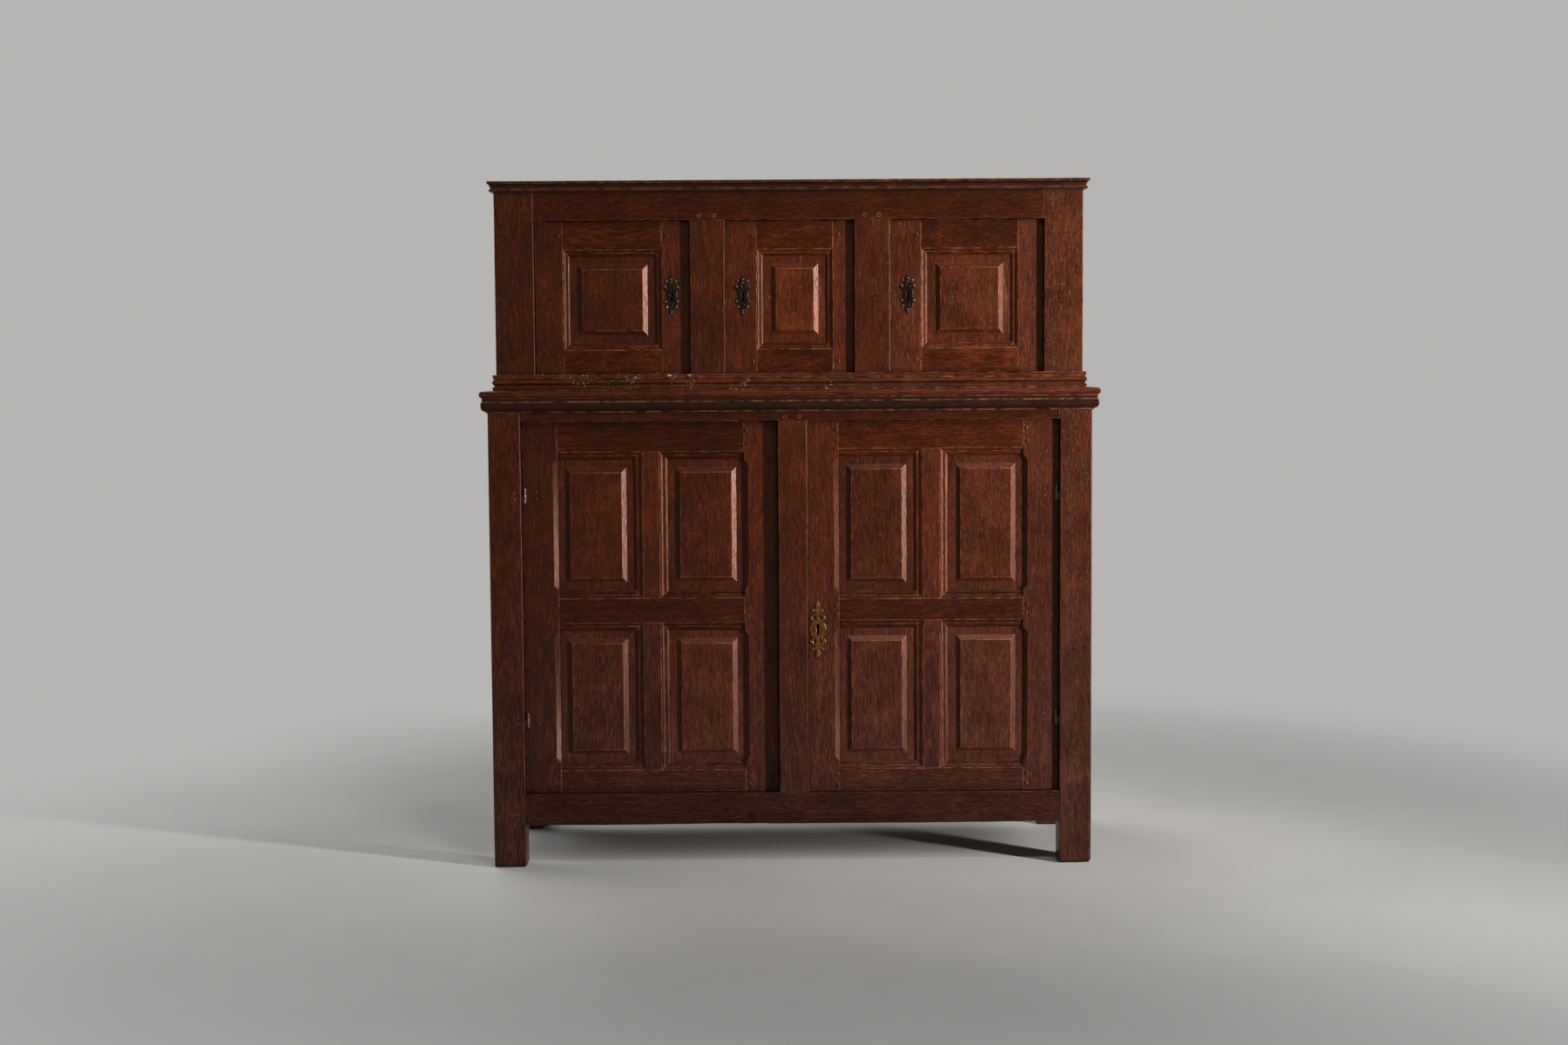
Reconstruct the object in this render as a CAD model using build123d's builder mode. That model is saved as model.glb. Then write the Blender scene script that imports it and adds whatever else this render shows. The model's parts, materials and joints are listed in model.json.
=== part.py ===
from build123d import *
from dataclasses import dataclass
import os

os.makedirs("parts", exist_ok=True)

# Court cupboard in oak. A wide lower stage with two four-panelled doors carries a slightly
# narrower upper stage with three panelled doors. Both stages are framed in mortise and tenon
# joints and held with wooden pegs.
#
# Millimetres. X runs to the right, Y to the back, Z up, and the front faces -Y. The origin is
# on the floor under the centre of the whole object.

# ---------------------------------------------------------------- lower stage
lower_depth = 500.0
leg_height = 100.0  # clear under the bottom rail
lower_sill = 75.0  # height of the bottom rail
lower_opening = 885.0  # height of the door opening
lower_head = 57.0  # height of the top rail
lower_post_width = 76.0
lower_post_depth = 65.0
lower_left_bay = 605.0
lower_right_bay = 596.0
lower_muntin = 69.0  # the fixed upright between the two doors
side_rail_middle = 54.0
side_rail_level = 577.0  # underside of the side frames' middle rail

# ---------------------------------------------------------------- boards between the stages
board_top = 16.0  # thickness of the nosed top board
nose = 17.0  # how far it stands out past the lower frame
nose_radius = 7.0

# ---------------------------------------------------------------- upper stage
upper_inset = 19.0  # at either side, from the lower frame
upper_setback = 27.0  # behind the front of the lower frame
upper_sill = 38.0
upper_opening = 360.0
upper_head = 76.0
upper_post_width = 92.0
upper_post_depth = 60.0
upper_left_bay = 366.0
upper_middle_bay = 305.0
upper_left_muntin = 82.0
upper_right_muntin = 84.0
roof_board = 16.0

# ---------------------------------------------------------------- framing common to both stages
frame_thickness = 45.0  # front rails and muntins, front to back
side_rail_thickness = 30.0
side_rail_inset = 5.0  # side rails lie this far inside the posts' outer faces
back_rail_thickness = 30.0
tenon_thickness = 14.0
tenon_length = 38.0
tenon_shoulder = 8.0
tenon_setback = 15.0  # front face of a rail to the front of its tenon
side_tenon_length = 28.0
mortise_slack = 2.0  # room left at the bottom of a mortise
back_board = 12.0
back_board_count = 4
board_gap = 1.0  # shrinkage gap between neighbouring boards
floor_board = 15.0
floor_board_count = 3
floor_rebate = 12.0  # width of the rebate in the rails that carries the floor
floor_drop = 3.0  # floor boards lie this far below the top of the bottom rail
shelf_board = 18.0
shelf_top = 612.0
shelf_setback = 12.0  # behind the back of the front frame
bearer_height = 32.0
bearer_width = 22.0
partition = 14.0
partition_tongue = 8.0
round_play = 0.5  # boards notched round a post or rail keep this much clear
peg_radius = 4.5
peg_sides = 6
peg_depth = 40.0
peg_spacing = 34.0

# ---------------------------------------------------------------- doors
door_thickness = 22.0
door_gap = 2.0  # round each door in its opening
upper_recess = 14.0  # face of the frame to face of the door
lower_left_recess = 22.0
lower_right_recess = 14.0
upper_door_top_rail = 66.0
upper_door_bottom_rail = 55.0
lower_door_muntin = 41.0
upper_moulding = 15.5  # width of the moulding round the upper panels
lower_moulding = 19.0
moulding_depth = 10.0
chamfer_width = 10.0
chamfer_depth = 8.0
chamfer_point = 12.0  # length of a pointed chamfer stop
door_tenon = 8.0  # thickness of the door rails' tenons
door_tenon_length = 34.0
door_tenon_setback = 7.0
# Stile widths of each door, left then right. They differ from door to door by hand work.
upper_left_stiles = (65.0, 64.0)
upper_middle_stiles = (73.0, 48.0)
upper_right_stiles = (72.0, 58.0)
lower_left_stiles = (82.0, 78.0)
lower_right_stiles = (72.0, 82.0)
# Each lower door from the bottom up: rail, row of panels, rail. The rest is its upper row, under
# a top rail.
lower_left_heights = (51.0, 353.0, 59.0)
lower_left_top_rail = 70.0
lower_right_heights = (52.0, 356.0, 51.0)
lower_right_top_rail = 65.0

# ---------------------------------------------------------------- raised and fielded panels
panel_tongue = 6.0
panel_housing = 7.0  # how far the tongue runs into its groove
panel_play = 1.5  # room left at the bottom of the groove
panel_margin = 19.0
panel_bevel = 11.0
panel_rise = 6.5
panel_step = 1.2

# ---------------------------------------------------------------- pin hinges of the lower doors
hinge_inset = 6.3  # reveal to the pin's axis
hinge_proud = 1.2  # pin's axis in front of the door's face
barrel_radius = 4.2
barrel_height = 33.0
barrel_split = 0.4  # gap between the two halves of a barrel
pin_radius = 2.0
pin_play = 0.06
leaf_thickness = 2.0
leaf_length = 34.0
leaf_height = 13.0
barrel_room = 0.5  # between a barrel and the notch that the door has for it
lower_hinge_low = 351.0
lower_hinge_high = 886.0

# ---------------------------------------------------------------- pivots of the upper doors
# An upper door turns on two iron pivots, in the rails below and above it. Each has a square
# shank, and its round end runs in a socket plate that is let into the end of the stile.
pivot_inset = 12.0  # door's edge to the axis
pivot_setback = 6.5  # door's face to the axis
pivot_radius = 2.5
pivot_play = 0.3
pivot_reach = 6.0  # how far it stands into the door
pivot_shank = 18.0
socket_length = 18.0
socket_width = 9.0
socket_height = 7.0

# ---------------------------------------------------------------- locks
upper_lock_level = 1352.0
lower_lock_level = 563.0
upper_backset = 41.0  # door's edge to the keyhole
lower_backset = 21.0
lock_length = 62.0
lock_height = 56.0
lock_thickness = 13.0
lock_sunk = 6.0  # let into the back of the stile
bolt_length = 40.0
bolt_height = 12.0
bolt_thickness = 6.0
bolt_play = 0.4
bolt_throw = 10.0
bolt_set = 0.5  # the withdrawn bolt lies this far inside the door's edge
strike_play = 0.8
keyhole_width = 6.0
keyhole_length = 24.0
plate_thickness = 1.5

# ---------------------------------------------------------------- door stops and turn button
stop_height = 22.0
stop_width = 40.0
stop_depth = 12.0
stop_gap = 0.5
button_reach = 56.0
button_tail = 16.0
button_width = 22.0
button_thickness = 12.0
button_boss = 10.0
button_stand = 1.8  # between the button's face and the door's back
button_pin = 4.0
button_pin_depth = 14.0
button_play = 0.08
button_clear = 0.3
button_inset = 26.0  # door's edge to the pivot
button_level = 604.0

# ---------------------------------------------------------------- planted mouldings
top_cornice_height = 24.0
top_cornice_reach = 14.0
middle_cornice_height = 35.0
middle_cornice_reach = 14.0
waist_reach = 9.0
hairline = 0.3  # open mitre between two lengths of moulding


# ================================================================ derived frame
whole_depth = lower_depth + nose
lower_front = -whole_depth / 2 + nose
rear = whole_depth / 2
lower_top = leg_height + lower_sill + lower_opening + lower_head
upper_base = lower_top + board_top
upper_front = lower_front + upper_setback
lower_width = 2 * lower_post_width + lower_left_bay + lower_muntin + lower_right_bay
upper_width = lower_width - 2 * upper_inset
upper_top = upper_base + upper_sill + upper_opening + upper_head
whole_height = upper_top + roof_board


def grown(span, amount):
    """A range made longer by the same amount at both ends."""
    low, high = min(span), max(span)
    return (low - amount, high + amount)


@dataclass
class Stage:
    """One framed storey: its outline, its posts and the heights of its rails."""

    name: str
    half_width: float
    front: float
    post_width: float
    post_depth: float
    foot: float
    top: float
    sill: tuple
    head: tuple
    side_rails: list

    @property
    def opening(self):
        return (self.sill[1], self.head[0])

    @property
    def reveal(self):
        return self.half_width - self.post_width

    @property
    def floor(self):
        return self.sill[1] - floor_drop

    @property
    def back_of_frame(self):
        return self.front + frame_thickness

    @property
    def side_outer(self):
        return self.half_width - side_rail_inset

    @property
    def side_inner(self):
        return self.side_outer - side_rail_thickness


lower_sill_span = (leg_height, leg_height + lower_sill)
lower_head_span = (lower_top - lower_head, lower_top)
middle_span = (side_rail_level, side_rail_level + side_rail_middle)
upper_sill_span = (upper_base, upper_base + upper_sill)
upper_head_span = (upper_top - upper_head, upper_top)

lower = Stage(
    "lower",
    lower_width / 2,
    lower_front,
    lower_post_width,
    lower_post_depth,
    0.0,
    lower_top,
    lower_sill_span,
    lower_head_span,
    [lower_sill_span, middle_span, lower_head_span],
)
upper = Stage(
    "upper",
    upper_width / 2,
    upper_front,
    upper_post_width,
    upper_post_depth,
    upper_base,
    upper_top,
    upper_sill_span,
    upper_head_span,
    [upper_sill_span, upper_head_span],
)

# The fixed uprights between the doors, as ranges along X.
lower_bay_end = -lower.reveal + lower_left_bay
lower_muntin_span = (lower_bay_end, lower_bay_end + lower_muntin)
upper_bay_end = -upper.reveal + upper_left_bay
left_muntin_span = (upper_bay_end, upper_bay_end + upper_left_muntin)
middle_bay_end = left_muntin_span[1] + upper_middle_bay
right_muntin_span = (middle_bay_end, middle_bay_end + upper_right_muntin)
stage_muntins = {"lower": [lower_muntin_span], "upper": [left_muntin_span, right_muntin_span]}


@dataclass
class Door:
    """A door in its opening. hinge_side and lock_side are -1 for its left edge, 1 for its right."""

    name: str
    stage: Stage
    bay: tuple
    recess: float
    hinge_side: int
    stiles: tuple
    rails: list
    muntin: float
    moulding: float
    moulded_stiles: bool
    hinge_levels: tuple
    lock_level: float | None
    backset: float

    @property
    def front(self):
        return self.stage.front + self.recess

    @property
    def back(self):
        return self.front + door_thickness

    @property
    def span(self):
        return (self.bay[0] + door_gap, self.bay[1] - door_gap)

    @property
    def height(self):
        low, high = self.stage.opening
        return (low + door_gap, high - door_gap)

    @property
    def stile_edges(self):
        """Flat edges of the two stiles that face the panels."""
        return (self.span[0] + self.stiles[0], self.span[1] - self.stiles[1])

    @property
    def columns(self):
        """Ranges along X between the flat faces of the stiles and the muntin."""
        left, right = self.stile_edges
        if not self.muntin:
            return [(left, right)]
        middle = (left + right) / 2
        return [(left, middle - self.muntin / 2), (middle + self.muntin / 2, right)]

    @property
    def rows(self):
        """Ranges along Z between the flat faces of the rails."""
        return [(low[1], high[0]) for low, high in zip(self.rails, self.rails[1:])]

    @property
    def lock_edge(self):
        return self.span[1] if self.hinge_side < 0 else self.span[0]

    @property
    def pivoted(self):
        """Whether it turns on pivots in the rails, and has no hinges with barrels."""
        return not self.hinge_levels

    @property
    def pin(self):
        """Where the hinge axis stands in plan."""
        reveal = self.bay[0] if self.hinge_side < 0 else self.bay[1]
        if self.pivoted:
            inset = door_gap + pivot_inset
            return (reveal - self.hinge_side * inset, self.front + pivot_setback)
        return (reveal - self.hinge_side * hinge_inset, self.front - hinge_proud)

    @property
    def pivot_ends(self):
        """Faces of the rails below and above a pivoted door, each with the way into the door."""
        low, high = self.stage.opening
        return [(low, 1), (high, -1)] if self.pivoted else []


upper_rails = [
    (upper.opening[0] + door_gap, upper.opening[0] + door_gap + upper_door_bottom_rail),
    (upper.opening[1] - door_gap - upper_door_top_rail, upper.opening[1] - door_gap),
]
lower_hinges = (lower_hinge_low, lower_hinge_high)


def upper_door(name, bay, hinge_side, stiles):
    return Door(
        name,
        upper,
        bay,
        upper_recess,
        hinge_side,
        stiles,
        upper_rails,
        0.0,
        upper_moulding,
        True,
        (),
        upper_lock_level,
        upper_backset,
    )


def lower_door(name, bay, recess, hinge_side, stiles, heights, top_rail, lock_level):
    low, high = grown(lower.opening, -door_gap)
    bottom_rail, row, middle_rail = heights
    middle = low + bottom_rail + row
    rails = [(low, low + bottom_rail), (middle, middle + middle_rail), (high - top_rail, high)]
    return Door(
        name,
        lower,
        bay,
        recess,
        hinge_side,
        stiles,
        rails,
        lower_door_muntin,
        lower_moulding,
        False,
        lower_hinges,
        lock_level,
        lower_backset,
    )


upper_left = upper_door(
    "upper_left_door", (-upper.reveal, left_muntin_span[0]), -1, upper_left_stiles
)
upper_middle = upper_door(
    "upper_middle_door", (left_muntin_span[1], right_muntin_span[0]), 1, upper_middle_stiles
)
upper_right = upper_door(
    "upper_right_door", (right_muntin_span[1], upper.reveal), 1, upper_right_stiles
)
lower_left = lower_door(
    "lower_left_door",
    (-lower.reveal, lower_muntin_span[0]),
    lower_left_recess,
    -1,
    lower_left_stiles,
    lower_left_heights,
    lower_left_top_rail,
    None,
)
lower_right = lower_door(
    "lower_right_door",
    (lower_muntin_span[1], lower.reveal),
    lower_right_recess,
    1,
    lower_right_stiles,
    lower_right_heights,
    lower_right_top_rail,
    lower_lock_level,
)
doors = [upper_left, upper_middle, upper_right, lower_left, lower_right]
locked_doors = [door for door in doors if door.lock_level]


# ================================================================ shared shapes
def facing(y):
    """Drawing plane parallel to the front, at y, seen from the front: X right and Z up."""
    return Plane.XZ.offset(-y)


def block(xs, ys, zs, mode=Mode.ADD):
    """A squared piece that fills three ranges, the ends of each in any order."""
    spans = [(min(ends), max(ends)) for ends in (xs, ys, zs)]
    centre = tuple((low + high) / 2 for low, high in spans)
    with Locations(centre):
        Box(*[high - low for low, high in spans], mode=mode)


def outline(points, y, depth):
    """A board cut to an outline of (x, z) points, from its front face at y back to y + depth."""
    with BuildPart() as cut:
        with BuildSketch(facing(y)):
            with BuildLine():
                Polyline(*points, close=True)
            make_face()
        extrude(amount=-depth)
    return cut.part


def raised_panel(face, width, height):
    """A raised and fielded panel. face lies on its flat margin, with the sight size between the
    frame's edges. The tongue runs on behind into the grooves."""
    housed = 2 * panel_housing
    field = 2 * (panel_margin + panel_bevel)
    slope = 90 - Vector(panel_bevel, panel_rise, 0).get_angle(Vector(1, 0, 0))
    with BuildPart() as panel:
        with BuildSketch(face):
            Rectangle(width + housed, height + housed)
        extrude(amount=-panel_tongue)
        with BuildSketch(face):
            Rectangle(width - 2 * panel_margin, height - 2 * panel_margin)
        extrude(amount=panel_rise, taper=slope)
        with BuildSketch(face.offset(panel_rise)):
            Rectangle(width - field, height - field)
        extrude(amount=panel_step)
    return panel.part


def door_face(x, y, z):
    """Plane with its origin on a face that looks to the front."""
    return Plane(origin=(x, y, z), x_dir=(1, 0, 0), z_dir=(0, -1, 0))


def side_face(side, x, y, z):
    """Plane with its origin on a face that looks out sideways."""
    return Plane(origin=(side * x, y, z), x_dir=(0, side, 0), z_dir=(side, 0, 0))


# ---------------------------------------------------------------- tenons, and mortises to match
def front_tenon(face, outward, front, rail, slack=0.0):
    """Tenon of a rail along X that leaves its shoulder at face. A mortise has slack at its end."""
    return (
        (face, face + outward * (tenon_length + slack)),
        (front + tenon_setback, front + tenon_setback + tenon_thickness),
        grown(rail, -tenon_shoulder),
    )


def side_tenon(face, outward, side, stage, rail, slack=0.0):
    """Tenon of a side rail, along Y."""
    middle = side * (stage.side_outer + stage.side_inner) / 2
    return (
        grown((middle, middle), tenon_thickness / 2),
        (face, face + outward * (side_tenon_length + slack)),
        grown(rail, -tenon_shoulder),
    )


def back_tenon(side, stage, rail, slack=0.0):
    """Tenon of a rail at the back, along X."""
    face = side * stage.reveal
    front = rear - back_board - back_rail_thickness
    return (
        (face, face + side * (tenon_length + slack)),
        (front + tenon_thickness / 2, front + 3 * tenon_thickness / 2),
        grown(rail, -tenon_shoulder),
    )


def muntin_tenon(span, stage, level, upward, slack=0.0):
    """Stub tenon at one end of a fixed upright of the front frame."""
    stub = tenon_length / 2 + slack
    return (
        grown(span, -tenon_shoulder),
        (stage.front + tenon_setback, stage.front + tenon_setback + tenon_thickness),
        (level, level + upward * stub),
    )


def side_panel_face(stage, side, low, high):
    """Face of a side panel's margin, and its sight size."""
    y_low = stage.front + stage.post_depth
    y_high = rear - stage.post_depth
    x = stage.side_outer - moulding_depth
    face = side_face(side, x, (y_low + y_high) / 2, (low[1] + high[0]) / 2)
    return face, y_high - y_low, high[0] - low[1]


def side_panel_grooves(stage):
    """Grooves in posts and rails that house the side panels' tongues."""
    outer = stage.side_outer - moulding_depth
    deep = panel_housing + panel_play
    y_span = (stage.front + stage.post_depth, rear - stage.post_depth)
    for side in (-1, 1):
        for low, high in zip(stage.side_rails, stage.side_rails[1:]):
            block(
                (side * outer, side * (outer - panel_tongue)),
                grown(y_span, deep),
                grown((low[1], high[0]), deep),
                mode=Mode.SUBTRACT,
            )


# ---------------------------------------------------------------- pegs
def peg_points(stage):
    """Foot of each peg in the front frame, as (x, z)."""
    points = []
    for side in (-1, 1):
        x = side * (stage.reveal + tenon_length / 2)
        for rail in (stage.sill, stage.head):
            middle = (rail[0] + rail[1]) / 2
            spread = min(peg_spacing, rail[1] - rail[0] - 2 * tenon_shoulder) / 4
            points += [(x, middle - spread), (x, middle + spread)]
    for span in stage_muntins[stage.name]:
        middle = (span[0] + span[1]) / 2
        z = stage.head[0] + tenon_length / 4
        points += [(middle - peg_spacing / 2, z), (middle + peg_spacing / 2, z)]
    return points


def peg_set(stage):
    """Six-sided pegs of a stage: those driven in from the front, and one through each tenon of
    the side rails."""
    starts = [(door_face(x, stage.front, z), peg_depth) for x, z in peg_points(stage)]
    for side in (-1, 1):
        for y in (
            stage.front + stage.post_depth - side_tenon_length / 2,
            rear - stage.post_depth + side_tenon_length / 2,
        ):
            for rail in stage.side_rails:
                face = side_face(side, stage.half_width, y, (rail[0] + rail[1]) / 2)
                starts.append((face, side_rail_thickness))
    pegs = []
    for face, depth in starts:
        with BuildPart() as peg:
            with BuildSketch(face):
                RegularPolygon(peg_radius, peg_sides)
            extrude(amount=-depth)
        pegs.append(peg.part)
    return pegs


stage_pegs = {stage.name: peg_set(stage) for stage in (lower, upper)}


# ---------------------------------------------------------------- hinge leaves and their slots
def post_leaf(door, level):
    """Ranges of the leaf that a hinge has in the frame. It belongs to the lower half barrel."""
    x, y = door.pin
    outward = door.hinge_side
    centre = level - (barrel_height + barrel_split) / 4
    return (
        (x + outward * pin_radius, x + outward * (hinge_inset + leaf_length)),
        grown((y, y), leaf_thickness / 2),
        grown((centre, centre), leaf_height / 2),
    )


def door_leaf(door, level):
    """Ranges of the leaf that a hinge has in the door's stile, just under its face."""
    x, y = door.pin
    inward = -door.hinge_side
    centre = level + (barrel_height + barrel_split) / 4
    return (
        (x, x + inward * (leaf_length + barrel_radius)),
        (y + barrel_radius - leaf_thickness, y + barrel_radius),
        grown((centre, centre), leaf_height / 2),
    )


# ---------------------------------------------------------------- pivots
def pivot_shank_ranges(door, face, inward):
    """Ranges of a pivot's square shank in the rail."""
    x, y = door.pin
    return (
        grown((x, x), pivot_radius),
        grown((y, y), pivot_radius),
        (face, face - inward * pivot_shank),
    )


def socket_ranges(door, face, inward):
    """Ranges of the socket plate in the end of the stile."""
    x, y = door.pin
    end = face + inward * door_gap
    return (
        grown((x, x), socket_length / 2),
        grown((y, y), socket_width / 2),
        (end, end + inward * socket_height),
    )


# ---------------------------------------------------------------- locks
def bolt_ranges(door):
    """Ranges of a lock bolt, drawn back into its case."""
    away = door.hinge_side
    tip = door.lock_edge + away * bolt_set
    middle = door.back - lock_sunk + lock_thickness / 2
    return (
        (tip, tip + away * bolt_length),
        grown((middle, middle), bolt_thickness / 2),
        grown((door.lock_level, door.lock_level), bolt_height / 2),
    )


def strike_mortise(door):
    """Hole in the frame that takes the thrown bolt."""
    _, ys, zs = bolt_ranges(door)
    reveal = door.lock_edge - door.hinge_side * door_gap
    return (
        (reveal, reveal - door.hinge_side * (bolt_throw + mortise_slack)),
        grown(ys, strike_play),
        grown(zs, strike_play),
    )


def keyhole_slot(door, ys, mode=Mode.SUBTRACT):
    """Upright slot for the key."""
    x = door.lock_edge + door.hinge_side * door.backset
    block(
        grown((x, x), keyhole_width / 2),
        ys,
        grown((door.lock_level, door.lock_level), keyhole_length / 2),
        mode=mode,
    )


# ================================================================ frames of both stages
back_rail_span = (rear - back_board - back_rail_thickness, rear - back_board)
for stage in (lower, upper):
    front_posts = (stage.front, stage.front + stage.post_depth)
    rear_posts = (rear - stage.post_depth, rear)
    stage_doors = [door for door in doors if door.stage is stage]

    with BuildPart() as posts:
        for side in (-1, 1):
            for ys in (front_posts, rear_posts):
                block(
                    (side * stage.reveal, side * stage.half_width), ys, (stage.foot, stage.top)
                )
            for rail in (stage.sill, stage.head):
                block(
                    *front_tenon(side * stage.reveal, side, stage.front, rail, mortise_slack),
                    mode=Mode.SUBTRACT,
                )
                block(*back_tenon(side, stage, rail, mortise_slack), mode=Mode.SUBTRACT)
            for rail in stage.side_rails:
                for face, outward in ((front_posts[1], -1), (rear_posts[0], 1)):
                    block(
                        *side_tenon(face, outward, side, stage, rail, mortise_slack),
                        mode=Mode.SUBTRACT,
                    )
            # The boards of the back lie in a rebate in the rear posts.
            block(
                (side * stage.reveal, side * (stage.reveal + back_board)),
                (rear - back_board, rear),
                (stage.sill[0], stage.top),
                mode=Mode.SUBTRACT,
            )
        side_panel_grooves(stage)
        for door in stage_doors:
            for level in door.hinge_levels:
                block(*post_leaf(door, level), mode=Mode.SUBTRACT)
        add(stage_pegs[stage.name], mode=Mode.SUBTRACT)
    posts.part.label = f"{stage.name}_posts"
    export_step(posts.part, f"parts/{stage.name}_posts.step")

    with BuildPart() as front_rails:
        for rail in (stage.sill, stage.head):
            block((-stage.reveal, stage.reveal), (stage.front, stage.back_of_frame), rail)
            for side in (-1, 1):
                block(*front_tenon(side * stage.reveal, side, stage.front, rail))
        for span in stage_muntins[stage.name]:
            for level, upward in ((stage.sill[1], -1), (stage.head[0], 1)):
                block(
                    *muntin_tenon(span, stage, level, upward, mortise_slack), mode=Mode.SUBTRACT
                )
        # Rebate along the inside of the bottom rail for the floor boards.
        block(
            (-stage.reveal, stage.reveal),
            (stage.back_of_frame - floor_rebate, stage.back_of_frame),
            (stage.floor - floor_board, stage.sill[1]),
            mode=Mode.SUBTRACT,
        )
        for door in stage_doors:
            for end in door.pivot_ends:
                block(*pivot_shank_ranges(door, *end), mode=Mode.SUBTRACT)
        add(stage_pegs[stage.name], mode=Mode.SUBTRACT)
    front_rails.part.label = f"{stage.name}_front_rails"
    export_step(front_rails.part, f"parts/{stage.name}_front_rails.step")

    with BuildPart() as muntins:
        for span in stage_muntins[stage.name]:
            block(span, (stage.front, stage.back_of_frame), stage.opening)
            for level, upward in ((stage.sill[1], -1), (stage.head[0], 1)):
                block(*muntin_tenon(span, stage, level, upward))
            if stage is upper:
                # Groove in the back for the partition's tongue.
                middle = (span[0] + span[1]) / 2
                block(
                    grown((middle, middle), partition / 2),
                    (stage.back_of_frame - partition_tongue - mortise_slack, stage.back_of_frame),
                    stage.opening,
                    mode=Mode.SUBTRACT,
                )
        for door in stage_doors:
            if door.lock_level:
                block(*strike_mortise(door), mode=Mode.SUBTRACT)
        add(stage_pegs[stage.name], mode=Mode.SUBTRACT)
    muntins.part.label = f"{stage.name}_front_muntins"
    export_step(muntins.part, f"parts/{stage.name}_front_muntins.step")

    with BuildPart() as side_rails:
        for side in (-1, 1):
            for rail in stage.side_rails:
                block(
                    (side * stage.side_inner, side * stage.side_outer),
                    (front_posts[1], rear_posts[0]),
                    rail,
                )
                for face, outward in ((front_posts[1], -1), (rear_posts[0], 1)):
                    block(*side_tenon(face, outward, side, stage, rail))
            block(
                (side * stage.side_inner, side * (stage.side_inner + floor_rebate)),
                (front_posts[1], rear_posts[0]),
                (stage.floor - floor_board, stage.sill[1]),
                mode=Mode.SUBTRACT,
            )
        side_panel_grooves(stage)
        add(stage_pegs[stage.name], mode=Mode.SUBTRACT)
    side_rails.part.label = f"{stage.name}_side_rails"
    export_step(side_rails.part, f"parts/{stage.name}_side_rails.step")

    with BuildPart() as side_panels:
        for side in (-1, 1):
            for low, high in zip(stage.side_rails, stage.side_rails[1:]):
                add(raised_panel(*side_panel_face(stage, side, low, high)))
    side_panels.part.label = f"{stage.name}_side_panels"
    export_step(side_panels.part, f"parts/{stage.name}_side_panels.step")

    with BuildPart() as back_rails:
        for rail in (stage.sill, stage.head):
            block((-stage.reveal, stage.reveal), back_rail_span, rail)
            for side in (-1, 1):
                block(*back_tenon(side, stage, rail))
        block(
            (-stage.reveal, stage.reveal),
            (back_rail_span[0], back_rail_span[0] + floor_rebate),
            (stage.floor - floor_board, stage.sill[1]),
            mode=Mode.SUBTRACT,
        )
    back_rails.part.label = f"{stage.name}_back_rails"
    export_step(back_rails.part, f"parts/{stage.name}_back_rails.step")

    # Upright boards, nailed over the back rails between the rear posts.
    back_width = 2 * (stage.reveal + back_board)
    pitch = back_width / back_board_count
    with BuildPart() as back_boards:
        for index in range(back_board_count):
            x = -back_width / 2 + index * pitch
            block(
                (x + board_gap / 2, x + pitch - board_gap / 2),
                (rear - back_board, rear),
                (stage.sill[0], stage.top),
            )
    back_boards.part.label = f"{stage.name}_back_boards"
    export_step(back_boards.part, f"parts/{stage.name}_back_boards.step")

    # Floor boards run the width of the stage and are notched round the posts.
    floor_front = stage.back_of_frame - floor_rebate
    floor_depth = back_rail_span[0] + floor_rebate - floor_front
    plank = floor_depth / floor_board_count
    with BuildPart() as floor_boards:
        for index in range(floor_board_count):
            y = floor_front + index * plank
            block(
                grown((-stage.side_inner, stage.side_inner), floor_rebate),
                (y + board_gap / 2, y + plank - board_gap / 2),
                (stage.floor - floor_board, stage.floor),
            )
        for side in (-1, 1):
            for ys in (front_posts, rear_posts):
                block(
                    (side * (stage.reveal - round_play), side * stage.half_width),
                    grown(ys, round_play),
                    (stage.foot, stage.top),
                    mode=Mode.SUBTRACT,
                )
    floor_boards.part.label = f"{stage.name}_floor_boards"
    export_step(floor_boards.part, f"parts/{stage.name}_floor_boards.step")

# ================================================================ shelf of the lower stage
bearer_span = (lower.side_inner - bearer_width, lower.side_inner)
with BuildPart() as shelf_bearers:
    for side in (-1, 1):
        block(
            (side * bearer_span[0], side * bearer_span[1]),
            (lower.front + lower.post_depth, rear - lower.post_depth),
            (shelf_top - shelf_board - bearer_height, shelf_top - shelf_board),
        )
shelf_bearers.part.label = "shelf_bearers"
export_step(shelf_bearers.part, "parts/shelf_bearers.step")

with BuildPart() as shelf_boards:
    shelf_front = lower.front + max(lower.post_depth, frame_thickness) + shelf_setback
    shelf_plank = (rear - back_board - round_play - shelf_front) / 2
    for index in (0, 1):
        y = shelf_front + index * shelf_plank
        block(
            grown((-lower.side_inner, lower.side_inner), -round_play),
            (y + board_gap / 2, y + shelf_plank - board_gap / 2),
            (shelf_top - shelf_board, shelf_top),
        )
    for side in (-1, 1):
        block(
            (side * (lower.reveal - round_play), side * lower.half_width),
            (rear - lower.post_depth - round_play, rear),
            (lower.foot, lower.top),
            mode=Mode.SUBTRACT,
        )
shelf_boards.part.label = "shelf_boards"
export_step(shelf_boards.part, "parts/shelf_boards.step")

# ================================================================ boards between and above
with BuildPart() as middle_top:
    half = lower.half_width + nose
    joint = (lower.front + rear) / 2
    for ys in ((lower.front - nose, joint - board_gap / 2), (joint + board_gap / 2, rear)):
        block((-half, half), ys, (lower.top, upper.foot))
    long_edges = middle_top.edges().filter_by(Axis.X).group_by(Axis.Y)[0]
    end_edges = middle_top.edges().filter_by(Axis.Y)
    fillet(long_edges + end_edges, nose_radius)
middle_top.part.label = "middle_top_boards"
export_step(middle_top.part, "parts/middle_top_boards.step")

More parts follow.
